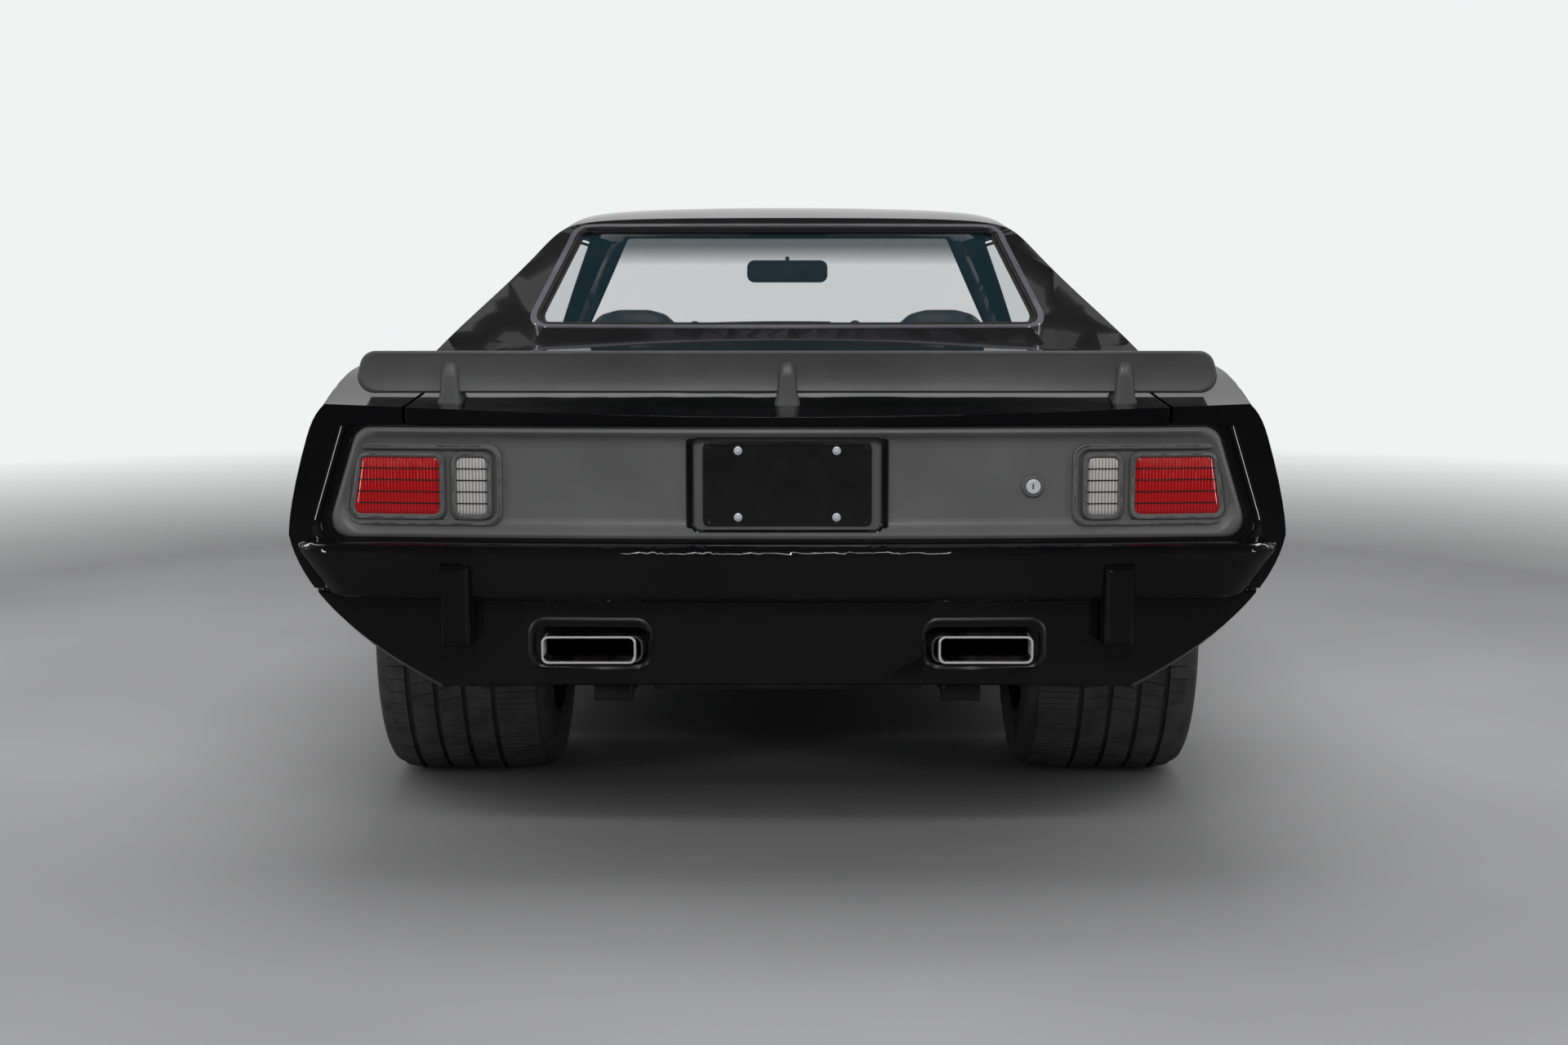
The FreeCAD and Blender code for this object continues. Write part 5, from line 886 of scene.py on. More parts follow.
def add_strip(bm, points, reference, section, loop=False):
    """Carry a section of (across, up) along points; up leans to the reference direction."""
    count = len(points)
    middle = sum(points, Vector()) / count
    for outward in (1, -1):
        rows = []
        votes = 0
        for i, point in enumerate(points):
            ahead = points[(i + 1) % count] if loop else points[min(i + 1, count - 1)]
            behind = points[i - 1] if loop else points[max(i - 1, 0)]
            along = (ahead - behind).normalized()
            across = along.cross(Vector(reference)).normalized() * outward
            up = across.cross(along).normalized() * outward
            votes += across.dot(point - middle)
            rows.append([point + across * a + up * b for a, b in section])
        if not loop or votes > 0:
            break
    join_rows(bm, rows, loop)


print("helpers for round and long parts are ready")

# %% [markdown]
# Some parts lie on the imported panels. A straight line from outside, followed with a BVH tree, says where
# a panel is, and the edges round its outer face say where it ends.

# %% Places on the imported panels
SKIN_TREES = {}


def on_skin(node, start, direction):
    """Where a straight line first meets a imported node, or None."""
    if node not in SKIN_TREES:
        mesh = nodes[node].data
        SKIN_TREES[node] = BVHTree.FromPolygons([v.co for v in mesh.vertices], [f.vertices for f in mesh.polygons])
    return SKIN_TREES[node].ray_cast(Vector(start), Vector(direction).normalized())[0]


def nearest_skin(names, start, direction):
    """The first of the places where a line meets any of several nodes."""
    met = [m for m in (on_skin(node, start, direction) for node in names) if m]
    return min(met, key=lambda m: (m - start).length) if met else None


OUTER_FACE = 0.35


def rim_of(node, outward):
    """Edges where a panel's outer face meets its sides, chained to loops, and the longest of them."""
    bm = merged(node)
    bm.edges.index_update()
    outward = Vector(outward).normalized()
    edges = {e for e in bm.edges if len(e.link_faces) == 2
             and len({face.normal.dot(outward) > OUTER_FACE for face in e.link_faces}) == 2}
    loops = []
    while edges:
        edge = min(edges, key=lambda e: e.index)
        edges.discard(edge)
        chain = [edge.verts[0], edge.verts[1]]
        grown = True
        while grown:
            grown = False
            for following in chain[-1].link_edges:
                if following in edges:
                    edges.discard(following)
                    chain.append(following.other_vert(chain[-1]))
                    grown = True
                    break
        if chain[0] == chain[-1]:
            chain.pop()
        loops.append([v.co.copy() for v in chain])
    bm.free()
    return max(loops, key=lambda loop: sum((a - b).length for a, b in zip(loop, loop[1:] + loop[:1])))


def even_points(points, step):
    """Points at equal steps round a closed chain, so that a strip bends evenly."""
    chain = points + points[:1]
    lengths = [(b - a).length for a, b in zip(chain, chain[1:])]
    total = sum(lengths)
    count = max(8, round(total / step))
    result = []
    part, walked = 0, 0.0
    for k in range(count):
        goal = total * k / count
        while part < len(lengths) - 1 and walked + lengths[part] < goal:
            walked += lengths[part]
            part += 1
        share = (goal - walked) / lengths[part] if lengths[part] else 0
        result.append(chain[part].lerp(chain[part + 1], min(1, share)))
    return result


print("the roof is", round(on_skin("roof", (0, 0.2, 2), (0, 0, -1)).z, 3), "m up")

# %% [markdown]
# The plate is bare. Its blank has rounded corners and an embossed border, and four pan-head screws hold it.
# It lies in a hollow with a painted frame. A slim lamp sits over it. The screws repeat, so the tree
# that copies along a line runs twice, first across and then up.

# %% Plate, its frame, screws and lamp
SCREW_X, SCREW_Z = -0.0889, 0.6849
SCREWS_APART = (0.1778, 0.12065)
plate_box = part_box("bare_plate")
PLATE = box_outline(plate_box[1].x, plate_box[0].z, plate_box[1].z)
plate_profile = [(0, 0.0022, 0.012), (0, 0.0004, 0.012), (0.0006, 0, 0.0115), (0.0052, 0, 0.008),
                 (0.0064, 0.0009, 0.0072), (0.012, 0.0009, 0.004)]
plate_mesh = join_rings(flat_rings(PLATE, plate_profile, plate_box[1].y + 0.0004), "plate_blank")
blank = new_piece("plate_blank", plate_mesh, plate_finish, "root", "plate_black")
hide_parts("bare_plate")

frame_profile = [(-0.0095, 0.022, 0.022), (-0.0095, 0.0155, 0.022), (-0.0065, 0.0125, 0.020), (-0.002, 0.0125, 0.017),
                 (0.0025, 0.0155, 0.0135), (0.0040, 0.021, 0.0125), (0.0040, 0.0305, 0.0125)]
tail_part("plate_frame", HOLLOW, frame_profile, gloss, "black_gloss")

screw_metal = finish("screw_metal", (0.62, 0.63, 0.65), Metallic=0.45, Roughness=0.35)
screw = bmesh.new()
add_lathe(screw, [(0.0075, 0.0), (0.0075, 0.0010), (0.0052, 0.0016), (0.0050, 0.0030), (0.0038, 0.0042),
                  (0.0012, 0.0046)], (SCREW_X, plate_box[1].y - 0.0008, SCREW_Z), Y_AXIS, 24)
screws = mesh_of(screw, "plate_screw")
for step in ((SCREWS_APART[0], 0, 0), (0, 0, SCREWS_APART[1])):
    screws = grow("plate_screws", screws, LINE_TREE, Count=2, Step=step, Material=screw_metal)
new_piece("plate_screws", screws, screw_metal, "root", "plate_black")

LAMP = box_outline(0.112, 0.8335, 0.8415)
lamp_profile = [(-0.001, 0.021, 0.004), (-0.001, 0.014, 0.004), (0.0006, 0.0122, 0.0034), (0.002, 0.0122, 0.0018)]
tail_part("plate_lamp", LAMP, lamp_profile, wear_and_painted_highlight, "satin_black", loop=False, run=12)
print("plate", round(plate_box[1].x * 2, 3), "m wide, screws:", len(screws.polygons), "faces")

# %% [markdown]
# The trunk lock is a turned ring round a bright cylinder with a narrow slot. Its axis follows the bow.

# %% Trunk lock
LOCK_X, LOCK_Z = -0.443, 0.741
lock_at = (LOCK_X, tail_y(LOCK_X, 0.0203), LOCK_Z)
lock_axis = (LOCK_X / TAIL_RADIUS, 1, 0)
collar = bmesh.new()
add_lathe(collar, [(0.0205, -0.001), (0.0205, 0.0035), (0.0185, 0.0058), (0.0160, 0.0062), (0.0142, 0.0048),
                   (0.0142, -0.001)], lock_at, lock_axis, 40, True)
piece_of(collar, "trunk_lock_collar", satin, "root", "satin_black")
barrel = bmesh.new()
add_lathe(barrel, [(0.0136, -0.001), (0.0136, 0.0072), (0.0124, 0.0088), (0.0088, 0.0094), (0.0080, 0.0084),
                   (0.0018, 0.0082)], lock_at, lock_axis, 40)
piece_of(barrel, "trunk_lock_barrel", screw_metal, "root", "satin_black")
slot_mesh = join_rings(flat_rings(box_outline(0.0011, LOCK_Z - 0.0052, LOCK_Z + 0.0052, LOCK_X),
                                  [(0, 0.002, 0.0006), (0, 0.0, 0.0006), (0.0002, -0.0002, 0.0004)],
                                  lock_at[1] + 0.0088, 3, 3), "trunk_lock_slot", arc=3, run=3)
new_piece("trunk_lock_slot", slot_mesh, seal, "root", "satin_black")
print("lock at", [round(v, 3) for v in lock_at])

# %% [markdown]
# The exhaust ends in two flat tips. Each is a rounded frame of bright metal with a burnt throat, set in
# a lipped mouth of the valance. The lip stands where a line from behind meets the valance.

# %% Exhaust tips and their mouths
TIP = box_outline(0.0845, 0.4224, 0.4711, 0.3588)
MOUTH = box_outline(0.104, 0.4190, 0.4960, 0.3560)
TIP_Y = 2.3105
VALANCE_BACK = 2.29
lip_black = finish("lip_black", (0.007, 0.007, 0.0075), Roughness=0.38)
burnt = finish("burnt_steel", (0.10, 0.08, 0.06), tones=((18.0, 5), (0.030, 0.024, 0.018), (0.20, 0.15, 0.10)),
               Metallic=0.8, Roughness=0.45)
TIP_RIM = [(-0.0008, 0.055, 0.012), (-0.0008, 0.0012, 0.012), (0.0004, 0, 0.0115), (0.0022, 0, 0.010),
           (0.0030, 0.0014, 0.0095), (0.0030, 0.055, 0.0095)]
TIP_THROAT = [(0.0032, 0.052, 0.0093), (0.010, 0.052, 0.006)]
MOUTH_LIP = ((0.002, -0.030, 0.020), (0.001, -0.004, 0.020), (-0.001, 0.0015, 0.022), (-0.005, 0.0028, 0.026),
             (-0.009, 0.0012, 0.030), (-0.010, -0.006, 0.031))


def tip_part(profile, material, loop):
    """A frame or a filled block inside the outline of a tip."""
    def make(name, sign):
        mesh = join_rings(flat_rings(mirror_x(TIP, sign), profile, TIP_Y), name, loop)
        return new_piece(name, mesh, material, "root", "exhaust_steel")
    return make


def mouth_lip(name, sign):
    """A lip that stands a little proud of the valance all round."""
    rings = []
    for inset, proud, radius in MOUTH_LIP:
        points = rounded_ring(mirror_x(MOUTH, sign), inset, radius, 7, 14)
        met = [on_skin("rear_valance", (p.x, 3.0, p.y), (0, -1, 0)) for p in points]
        near = [m.y if m and m.y > 2.2 else None for m in met]
        known = [y for y in near if y]
        mean = sum(known) / len(known) if known else VALANCE_BACK
        rings.append([Vector((p.x, (y or mean) + proud, p.y)) for p, y in zip(points, near)])
    return new_piece(name, join_rings(rings, name, loop=True), lip_black, "root", "black_gloss")


both_sides(tip_part(TIP_RIM, screw_metal, True), "exhaust_tip_rim")
both_sides(tip_part(TIP_THROAT, burnt, False), "exhaust_throat")
lips = both_sides(mouth_lip, "exhaust_mouth_lip")
print("exhaust lips at y", round(max(v.co.y for v in lips[0].data.vertices), 3))

# %% [markdown]
# A tyre is turned in one go: bead, bulged sidewall with two fine rings, shoulder and the floor of the
# grooves. The tread stands on it as blocks between four grooves; thin slanted slits part them. One
# step of blocks is made one by one, and the tree copies it round the axle.

# %% Tread
TREAD_STEPS = 72
SLIT = 0.0008
HALF_DRAWN = 0.1875
RIBS = ((0.120, 0.158, 0.0, 1, 0.0), (0.0615, 0.109, 0.4, 1, 0.0), (0.0015, 0.0515, 0.4, 1, 0.3),
        (-0.0605, -0.0085, -0.4, 1, 0.6), (-0.1560, -0.0710, 0.0, 2, 0.0))
SHOULDER = 0.15


def tread_step(outer, scale):
    """The blocks of one step: (start, end, slant, how many, shift) for each rib."""
    bm = bmesh.new()
    for start, end, slant, many, shift in RIBS:
        width = 2 * math.pi / TREAD_STEPS / many
        for n in range(many):
            rings = []
            for inset, depth in ((0.0, 0.0085), (0.0, 0.0012), (0.0010, 0.0)):
                ring = []
                slit = (SLIT + inset) / outer
                for t, turned in ((start, 0), (end, 0), (end, 1), (start, 1)):
                    angle = width * (n + shift + turned) + (-slit if turned else slit)
                    angle += slant * width * (t - start) / (end - start)
                    across = t * scale + (inset if t == start else -inset)
                    reach = outer - depth - (0.0065 if abs(t) > SHOULDER else 0.0)
                    ring.append((across, reach * math.sin(angle), reach * math.cos(angle)))
                rings.append(ring)
            join_rows(bm, rings)
    return mesh_of(bm, "step", 40)


print("blocks in a tread:", TREAD_STEPS * sum(many for start, end, slant, many, shift in RIBS))

# %% [markdown]
# The case is turned round the origin, gets its blocks there, and is then set on its axle. The outer side
# of a left wheel looks to +X and of a right one to -X, so right ones are mirrored.


# %% Tyres
def wheel_frame(node, hand):
    """Middle, half width and radius of a wheel part, and which way its outer side faces."""
    low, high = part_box(node)
    return (low + high) / 2, (high.x - low.x) / 2, (high.z - low.z) / 2, 1 if hand == "left" else -1


def wheel_piece(bm, name, node, middle, side, material, slot):
    """Put a part that was made round the origin on its axle."""
    for vert in bm.verts:
        vert.co = Vector((vert.co.x * side + middle.x, vert.co.y + middle.y, vert.co.z + middle.z))
    return piece_of(bm, name, material, body_of(node), slot, 40)


def each_wheel(make):
    """Call a maker for all four wheels."""
    return [make(end, hand) for end in ("front", "rear") for hand in ("left", "right")]


def make_tyre(end, hand):
    """The case is one lathe: wall, mirrored wall, and the same inside."""
    node = "tyre_%s_%s" % (end, hand)
    middle, half, outer, side = wheel_frame(node, hand)
    bead = half - 0.0272
    wall = [(0.2290, -bead), (0.2437, -bead), (0.2450, -bead - 0.004), (0.2480, -half + 0.0165),
            (0.2500, -half + 0.0120), (0.2530, -half + 0.0105), (0.2560, -half + 0.0112),
            (0.2700, -half + 0.0035), (0.2900, -half + 0.0004), (0.2915, -half + 0.0), (0.2940, -half + 0.0),
            (0.2955, -half + 0.0008), (outer - 0.030, -half + 0.0045), (outer - 0.020, -half + 0.0100),
            (outer - 0.0150, -half + 0.0165), (outer - 0.0125, -half + 0.0260), (outer - 0.0080, -half + 0.0400)]
    inner = [(0.2290, bead - 0.012), (0.252, bead - 0.012), (0.275, half - 0.013), (outer - 0.022, half - 0.045)]
    profile = wall + [(radius, -height) for radius, height in reversed(wall)]
    profile += inner + [(radius, -height) for radius, height in reversed(inner)]
    case = bmesh.new()
    add_lathe(case, profile, ORIGIN, X_AXIS, 96, True)
    both = bmesh.new()
    both.from_mesh(mesh_of(case, node + "_case", 50))
    step = tread_step(outer, half / HALF_DRAWN)
    both.from_mesh(grow("blocks", step, TURN_TREE, Count=TREAD_STEPS, Material=rubber))
    piece = wheel_piece(both, node + "_treaded", node, middle, side, rubber, "tyre")
    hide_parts(node)
    return piece


tyres = each_wheel(make_tyre)
print("tyre faces:", len(tyres[-1].data.polygons))

# %% [markdown]
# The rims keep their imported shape, welded and with rounded edges. A polished lip, five nuts and a domed
# cap are turned parts that go on top. The nuts are copied round the axle by the tree of the tread.

# %% Rims, lips, nuts and caps
NUT_CIRCLE = 0.0605
WHEEL_LIP = [(0.2212, 0.004), (0.2240, -0.0008), (0.2395, -0.0008), (0.2428, 0.0012), (0.2428, 0.006),
             (0.2330, 0.0095)]


def rim_trim(end, hand):
    """Lips on both faces, and nuts and a cap on the disc, whose place is found by a line from outside."""
    node = "rim_%s_%s" % (end, hand)
    middle, half, _, side = wheel_frame(node, hand)
    welded(node, dark_alloy, "rim", 0.0022, 30)
    lip = bmesh.new()
    for face, foot, heel in ((1, (0.2185, 0.030), (0.2210, 0.031)), (-1, (0.2205, 0.020), (0.2212, 0.021))):
        add_lathe(lip, [(radius, face * (half - depth)) for radius, depth in (foot, *WHEEL_LIP, heel)],
                  ORIGIN, X_AXIS, 96, True)
    disc = on_skin(node, (middle.x + side, middle.y, middle.z + 0.064), (-side, 0, 0))
    seat = (disc.x - middle.x) * side if disc else half - 0.06
    nut = bmesh.new()
    add_lathe(nut, [(0.0125, seat - 0.002), (0.0125, seat + 0.002), (0.0098, seat + 0.004), (0.0098, seat + 0.016),
                    (0.0080, seat + 0.020), (0.0030, seat + 0.0215)], (0, 0, NUT_CIRCLE), X_AXIS, 6)
    cap = bmesh.new()
    add_lathe(cap, [(0.0400, seat - 0.010), (0.0400, seat + 0.008), (0.0375, seat + 0.012), (0.0330, seat + 0.013),
                    (0.0300, seat + 0.016), (0.0180, seat + 0.0205), (0.0040, seat + 0.022)], ORIGIN, X_AXIS, 48)
    cap.from_mesh(grow("nuts", mesh_of(nut, "nut", 40), TURN_TREE, Count=5, Material=chrome))
    wheel_piece(lip, node + "_lip", node, middle, side, chrome, "rim")
    wheel_piece(cap, node + "_cap", node, middle, side, alloy, "rim")
    return seat


discs = each_wheel(rim_trim)
print("wheel disc stands", [round(s, 3) for s in discs], "m out from the middle of each rim")

# %% [markdown]
# Each window sits in a black gasket, and a painted frame goes round that; its light lilac grey is a painted
# reflection of the white wall. Their path is the glass's own rim, which is found as the edges between its
# outer face and its sides, then taken in even steps.

# %% Gaskets and window frames
BAND_OUT = 0.019
FARTHEST = 0.03
# Light lilac grey on the frame band: a painted reflection of the white wall.
frame_painted_reflection = finish("window_frame_painted_reflection", (0.055, 0.052, 0.060),
                     tones=((6.0, 3), (0.045, 0.043, 0.050), (0.07, 0.066, 0.076)),
                     Roughness=0.32, Coat_Weight=1.0, Coat_Roughness=0.08)
FRAME_BAND = [(-0.0085, -0.002), (-0.0075, 0.0018), (-0.0055, 0.0026), (0.0060, 0.0024), (0.0085, -0.002)]


def dress_window(node, outward, around):
    """A gasket from the glass up to the skin, and a band on the skin outside it, light lilac grey as a painted
    reflection.
    """
    outward = Vector(outward).normalized()
    loop = even_points(rim_of(node, outward), 0.012)
    size = len(loop)
    middle = sum(loop, Vector()) / size
    heights = []
    shifts = []
    for i, point in enumerate(loop):
        across = (loop[(i + 1) % size] - loop[i - 1]).normalized().cross(outward).normalized()
        if across.dot(point - middle) < 0:
            across = -across
        met = nearest_skin(around, point + across * BAND_OUT + outward * 0.15, -outward)
        heights.append((met - point - across * BAND_OUT).dot(outward) if met else None)
        shifts.append(across)
    known = [h for h in heights if h is not None and abs(h) < FARTHEST]
    usual = sorted(known)[len(known) // 2] if known else 0.004
    heights = [h if h is not None and abs(h) < FARTHEST else usual for h in heights]
    heights = [sum(heights[(i + d) % size] for d in range(-3, 4)) / 7 for i in range(size)]
    path = [p + s * BAND_OUT + outward * h for p, s, h in zip(loop, shifts, heights)]
    band = bmesh.new()
    add_strip(band, path, outward, FRAME_BAND, True)
    piece_of(band, node + "_frame", frame_painted_reflection, "root", "black_gloss")
    rows = []
    for p, s, h in zip(loop, shifts, heights):
        top = max(h, 0.0015) + 0.0022
        rows.append([p + s * a + outward * b for a, b in (
            (-0.008, -0.0005), (-0.0065, 0.0020), (-0.003, top * 0.6 + 0.001), (-0.0005, top * 0.55),
            (0.0025, top), (0.0075, top), (0.0105, top - 0.003), (0.0105, -0.004))])
    gasket = bmesh.new()
    join_rows(gasket, rows, loop=True)
    piece_of(gasket, node + "_gasket", seal, "root", "satin_black")
    return usual


BEHIND = ("roof", "deck_panel", "quarter_left", "quarter_right")
skin_over = [dress_window("rear_window", (0, 0.4, 0.9), BEHIND),
             dress_window("windshield", (0, -0.5, 0.86), ("roof", "cowl"))]
print("skin stands over the glass by", [round(s, 4) for s in skin_over])

# %% [markdown]
# The seats have soft pads. Each starts as a closed block a little smaller than the real pad, is remeshed to
# even squares, and Cloth with pressure blows it up; a cap keeps every point near its start. Channels are
# pressed in afterwards, since remeshing would erase them.

# %% Soft pads
CAP_FRONT, CAP_REAR = 0.014, 0.010


def closed_block(name, outline, place, low, high, steps=6):
    """A block through copies of a closed outline; place turns (a, b, share) into a point."""
    bm = bmesh.new()
    join_rows(bm, [[place(a, b, low + (high - low) * k / steps) for a, b in outline] for k in range(steps + 1)])
    return mesh_of(bm, name, 180)


def swollen(name, mesh, cap, voxel=0.009):
    """Remesh a closed block, blow it up, and smooth it once."""
    piece = new_piece(name, mesh, vinyl, "root", "seat_vinyl")
    modify(piece, "remesh", "REMESH", mode="VOXEL", voxel_size=voxel)
    settle(piece, 180)
    starts = [vert.co.copy() for vert in piece.data.vertices]
    cloth = modify(piece, "cloth", "CLOTH").settings
    cloth.use_pressure = True
    cloth.uniform_pressure_force = 4.0
    cloth.effector_weights.gravity = 0
    for number in range(1, 21):
        scene.frame_set(number)
    settle(piece, 180)
    scene.frame_set(1)
    for vert, start in zip(piece.data.vertices, starts):
        move = vert.co - start
        if move.length > cap:
            vert.co = start + move * (cap / move.length)
    modify(piece, "round", "SMOOTH", iterations=4)
    modify(piece, "finer", "SUBSURF", levels=1, render_levels=1)
    settle(piece, 180)
    coat(piece.data, vinyl)
    return piece


def press_channels(piece, lines, facing, depth=0.007, width=0.007):
    """Sink the vinyl along lines of constant x, on the side that faces one way."""
    facing = Vector(facing)
    normals = [vert.normal.copy() for vert in piece.data.vertices]
    for vert, normal in zip(piece.data.vertices, normals):
        share = max(0.0, normal.dot(facing))
        sink = max(math.exp(-((vert.co.x - x) / width) ** 2) for x in lines)
        vert.co -= normal * (depth * sink * min(1.0, share * 1.6))


print("the pads swell by up to", CAP_FRONT, "m in front and", CAP_REAR, "m behind")

# %% [markdown]
# The front seats are two outlines: the cushion's is seen from the side and the back's from the front. A
# hard base stands below. The rear bench is two long blocks.

# %% Seats
SEAT_X = 0.4
CUSHION = [(-0.105, 0.315), (-0.120, 0.350), (-0.120, 0.425), (-0.090, 0.452), (0.28, 0.438), (0.315, 0.41),
           (0.315, 0.32)]
HALF_BACK = [(0.205, 0.0), (0.222, 0.10), (0.218, 0.26), (0.196, 0.36), (0.150, 0.42), (0.132, 0.50),
             (0.118, 0.545), (0.085, 0.575), (0.04, 0.587)]
BACK = [(-0.205, 0.0)] + HALF_BACK + [(-x, z) for x, z in reversed(HALF_BACK[1:])]


def front_seat(name, sign):
    """Cushion, back and a hard base on one side."""
    middle = SEAT_X * sign
    block = closed_block("cushion", CUSHION, lambda a, b, s: (middle + s, a, b), -0.228, 0.228)
    cushion = swollen(name + "_cushion", block, CAP_FRONT)
    press_channels(cushion, [middle + d for d in (-0.15, -0.075, 0, 0.075, 0.15)], (0, 0, 1))
    block = closed_block("back", BACK, lambda a, b, s: (middle + a, 0.315 + b * 0.29 + s, 0.440 + b), -0.020, 0.060)
    back = swollen(name + "_back", block, CAP_FRONT)
    press_channels(back, [middle + d for d in (-0.12, -0.04, 0.04, 0.12)], (0, -1, 0))
    base = bmesh.new()
    corners = box_outline(0.215, -0.10, 0.31, middle)
    join_rows(base, [[(p.x, p.y, z) for p in rounded_ring(corners, inset, 0.03, 4, 6)]
                     for inset, z in ((0.010, 0.2490), (0, 0.262), (0, 0.300), (0.012, 0.330))])
    piece_of(base, name + "_base", cabin, "root", "cabin_plastic")
    return cushion


seats = both_sides(front_seat, "front_seat")
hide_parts("front_seats")

BENCH_CUSHION = [(0.548, 0.422), (0.548, 0.440), (0.565, 0.450), (0.84, 0.446), (0.85, 0.422)]
BENCH_BACK = [(0.868, 0.430), (0.925, 0.430), (1.098, 0.868), (1.090, 0.884), (1.010, 0.884), (0.985, 0.868)]
for name, outline, facing in (("rear_seat_cushion", BENCH_CUSHION, (0, 0, 1)),
                              ("rear_seat_back", BENCH_BACK, (0, -1, 0.3))):
    block = closed_block(name, outline, lambda a, b, s: (s, a, b), -0.452, 0.452, 12)
    pad = swollen(name, block, CAP_REAR, 0.010)
    press_channels(pad, [d * 0.086 for d in range(-5, 6)], facing)
    if name == "rear_seat_back":
        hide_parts("rear_seat")
print("pads made, with cloth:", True)

# %% [markdown]
# The headlamps are bowls behind glass: a polished bowl turned to a deep curve, a bulb in its middle and a
# bright ring round the glass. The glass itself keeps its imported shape.

# %% Headlamps
lamp_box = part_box("headlamps")
LAMP_RADIUS = (lamp_box[1].z - lamp_box[0].z) / 2
LAMP_X = lamp_box[1].x - LAMP_RADIUS
LAMP_Z = (lamp_box[1].z + lamp_box[0].z) / 2


def headlamp(name, sign):
    """Ring, bowl and bulb, turned round one axis that looks forward."""
    at = (LAMP_X * sign, lamp_box[0].y, LAMP_Z)
    bowl = bmesh.new()
    r = LAMP_RADIUS
    add_lathe(bowl, [(r - 0.001, -0.012), (r + 0.004, -0.004), (r + 0.007, 0.002), (r + 0.006, 0.006),
                     (r + 0.002, 0.006), (r - 0.003, 0.001), (r - 0.004, -0.006), (r - 0.010, -0.020)],
              at, (0, -1, 0), 56, True)
    add_lathe(bowl, [(0.010, -0.0500), (0.030, -0.0490), (0.050, -0.0420), (r - 0.006, -0.0250),
                     (r - 0.004, -0.0250), (0.052, -0.0440), (0.031, -0.0515), (0.010, -0.0525)],
              at, (0, -1, 0), 48, True)
    add_lathe(bowl, [(0.012, -0.052), (0.012, -0.036), (0.008, -0.030), (0.002, -0.029)], at, (0, -1, 0), 20)
    return piece_of(bowl, name, chrome, "root", "clear_lens", 40)


both_sides(headlamp, "headlamp_bowl")
print("headlamp radius", round(LAMP_RADIUS, 4), "m")

# %% [markdown]
# The wing is a wedge: tall and upright at its tail, thin at its nose, with rounded ends. Rings of one
# rounded outline get lower toward the nose. Its three posts flare where they meet the lid, so their lowest
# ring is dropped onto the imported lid.

# %% Wing and its posts
wing_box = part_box("rear_wing")
WING_HALF = wing_box[1].x
WING_TAIL = 2.2135
WING_NOSE = wing_box[0].y
WING_ARC, WING_RUN = 9, 60


def wing_ring(share, inset, y):
    """One ring of the blade; the share runs from 0 at its tail to 1 at its nose."""
    low = 0.905 + 0.0215 * share
    high = 0.982 - 0.053 * share ** 1.25
    lean = 0.024 * (1 - share)
    foot, top = WING_HALF - 0.004, WING_HALF - lean
    radius = min(0.030, (high - low) * 0.42)
    corners = [(-foot, low), (foot, low), (top, high), (-top, high)]
    return [Vector((p.x, y, p.y)) for p in rounded_ring(corners, inset, radius, WING_ARC, WING_RUN)]


wing_rings = [wing_ring(0, inset, WING_TAIL - step)
              for inset, step in ((0.0075, 0.0016), (0.0045, 0), (0.0012, 0.0016), (0, 0.006))]
wing_rings += [wing_ring(k / 10, 0, WING_TAIL - 0.006 + (WING_NOSE + 0.004 - WING_TAIL) * k / 10)
               for k in range(1, 11)]
wing_bm = bmesh.new()
wing_bm.from_mesh(join_rings(wing_rings, "wing_blade", arc=WING_ARC, run=WING_RUN, sharp=50))
POST_RINGS = ((None, 0.034, 2.2330, 2.085), (0.884, 0.0235, 2.2265, 2.120), (0.905, 0.0185, 2.2235, 2.150),
              (0.935, 0.0160, 2.2215, 2.170), (0.952, 0.0145, 2.2195, 2.180), (0.9615, 0.0120, 2.2130, 2.185))
for middle in (-0.615, 0.0, 0.615):
    rows = []
    for z, half, tail, front in POST_RINGS:
        corners = box_outline(half, front, tail, middle)
        row = [Vector((p.x, p.y, z or 0)) for p in rounded_ring(corners, 0, 0.009, 6, 4)]
        for point in row:
            if z is None:
                met = on_skin("trunk_lid", (point.x, point.y, 2), (0, 0, -1))
                point.z = (met.z if met else 0.866) - 0.0004
        rows.append(row)
    wing_bm.from_mesh(join_rings(rows, "post", arc=6, run=4, sharp=50))
wing_piece = piece_of(wing_bm, "wing_blade_and_posts", wing_satin, body_of("rear_wing"), "satin_black", 50)
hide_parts("rear_wing")
print("wing faces:", len(wing_piece.data.polygons))

# %% [markdown]
# The slot in the front valance would show the floor behind it. On a real car a slatted screen fills it.
# One slat follows the bow of the nose, and the tree copies it upward; a dark panel behind it is painted shade,
# standing in for the shadowed inside of the nose.

# %% Screen in the air slot
SLOT_HALF, SLOT_LOW, SLOT_HIGH = 0.332, 0.341, 0.409


def nose_y(x):
    """Where the valance stands above the slot."""
    met = on_skin("front_valance", (x, -3.0, SLOT_HIGH + 0.02), (0, 1, 0))
    return met.y if met else -2.28


SLAT = ((-0.010, -0.0015), (-0.011, 0.0005), (0.006, 0.0045), (0.007, 0.0025))
slat = bmesh.new()
add_bar(slat, -SLOT_HALF, SLOT_HALF, 16, lambda x: nose_y(x) + 0.034, [(a, SLOT_LOW + 0.010 + b) for a, b in SLAT])
slats = grow("slats", mesh_of(slat, "slat"), LINE_TREE, Count=5, Step=(0, 0, 0.0115), Material=satin)
new_piece("air_slot_slats", slats, satin, "root", "satin_black")
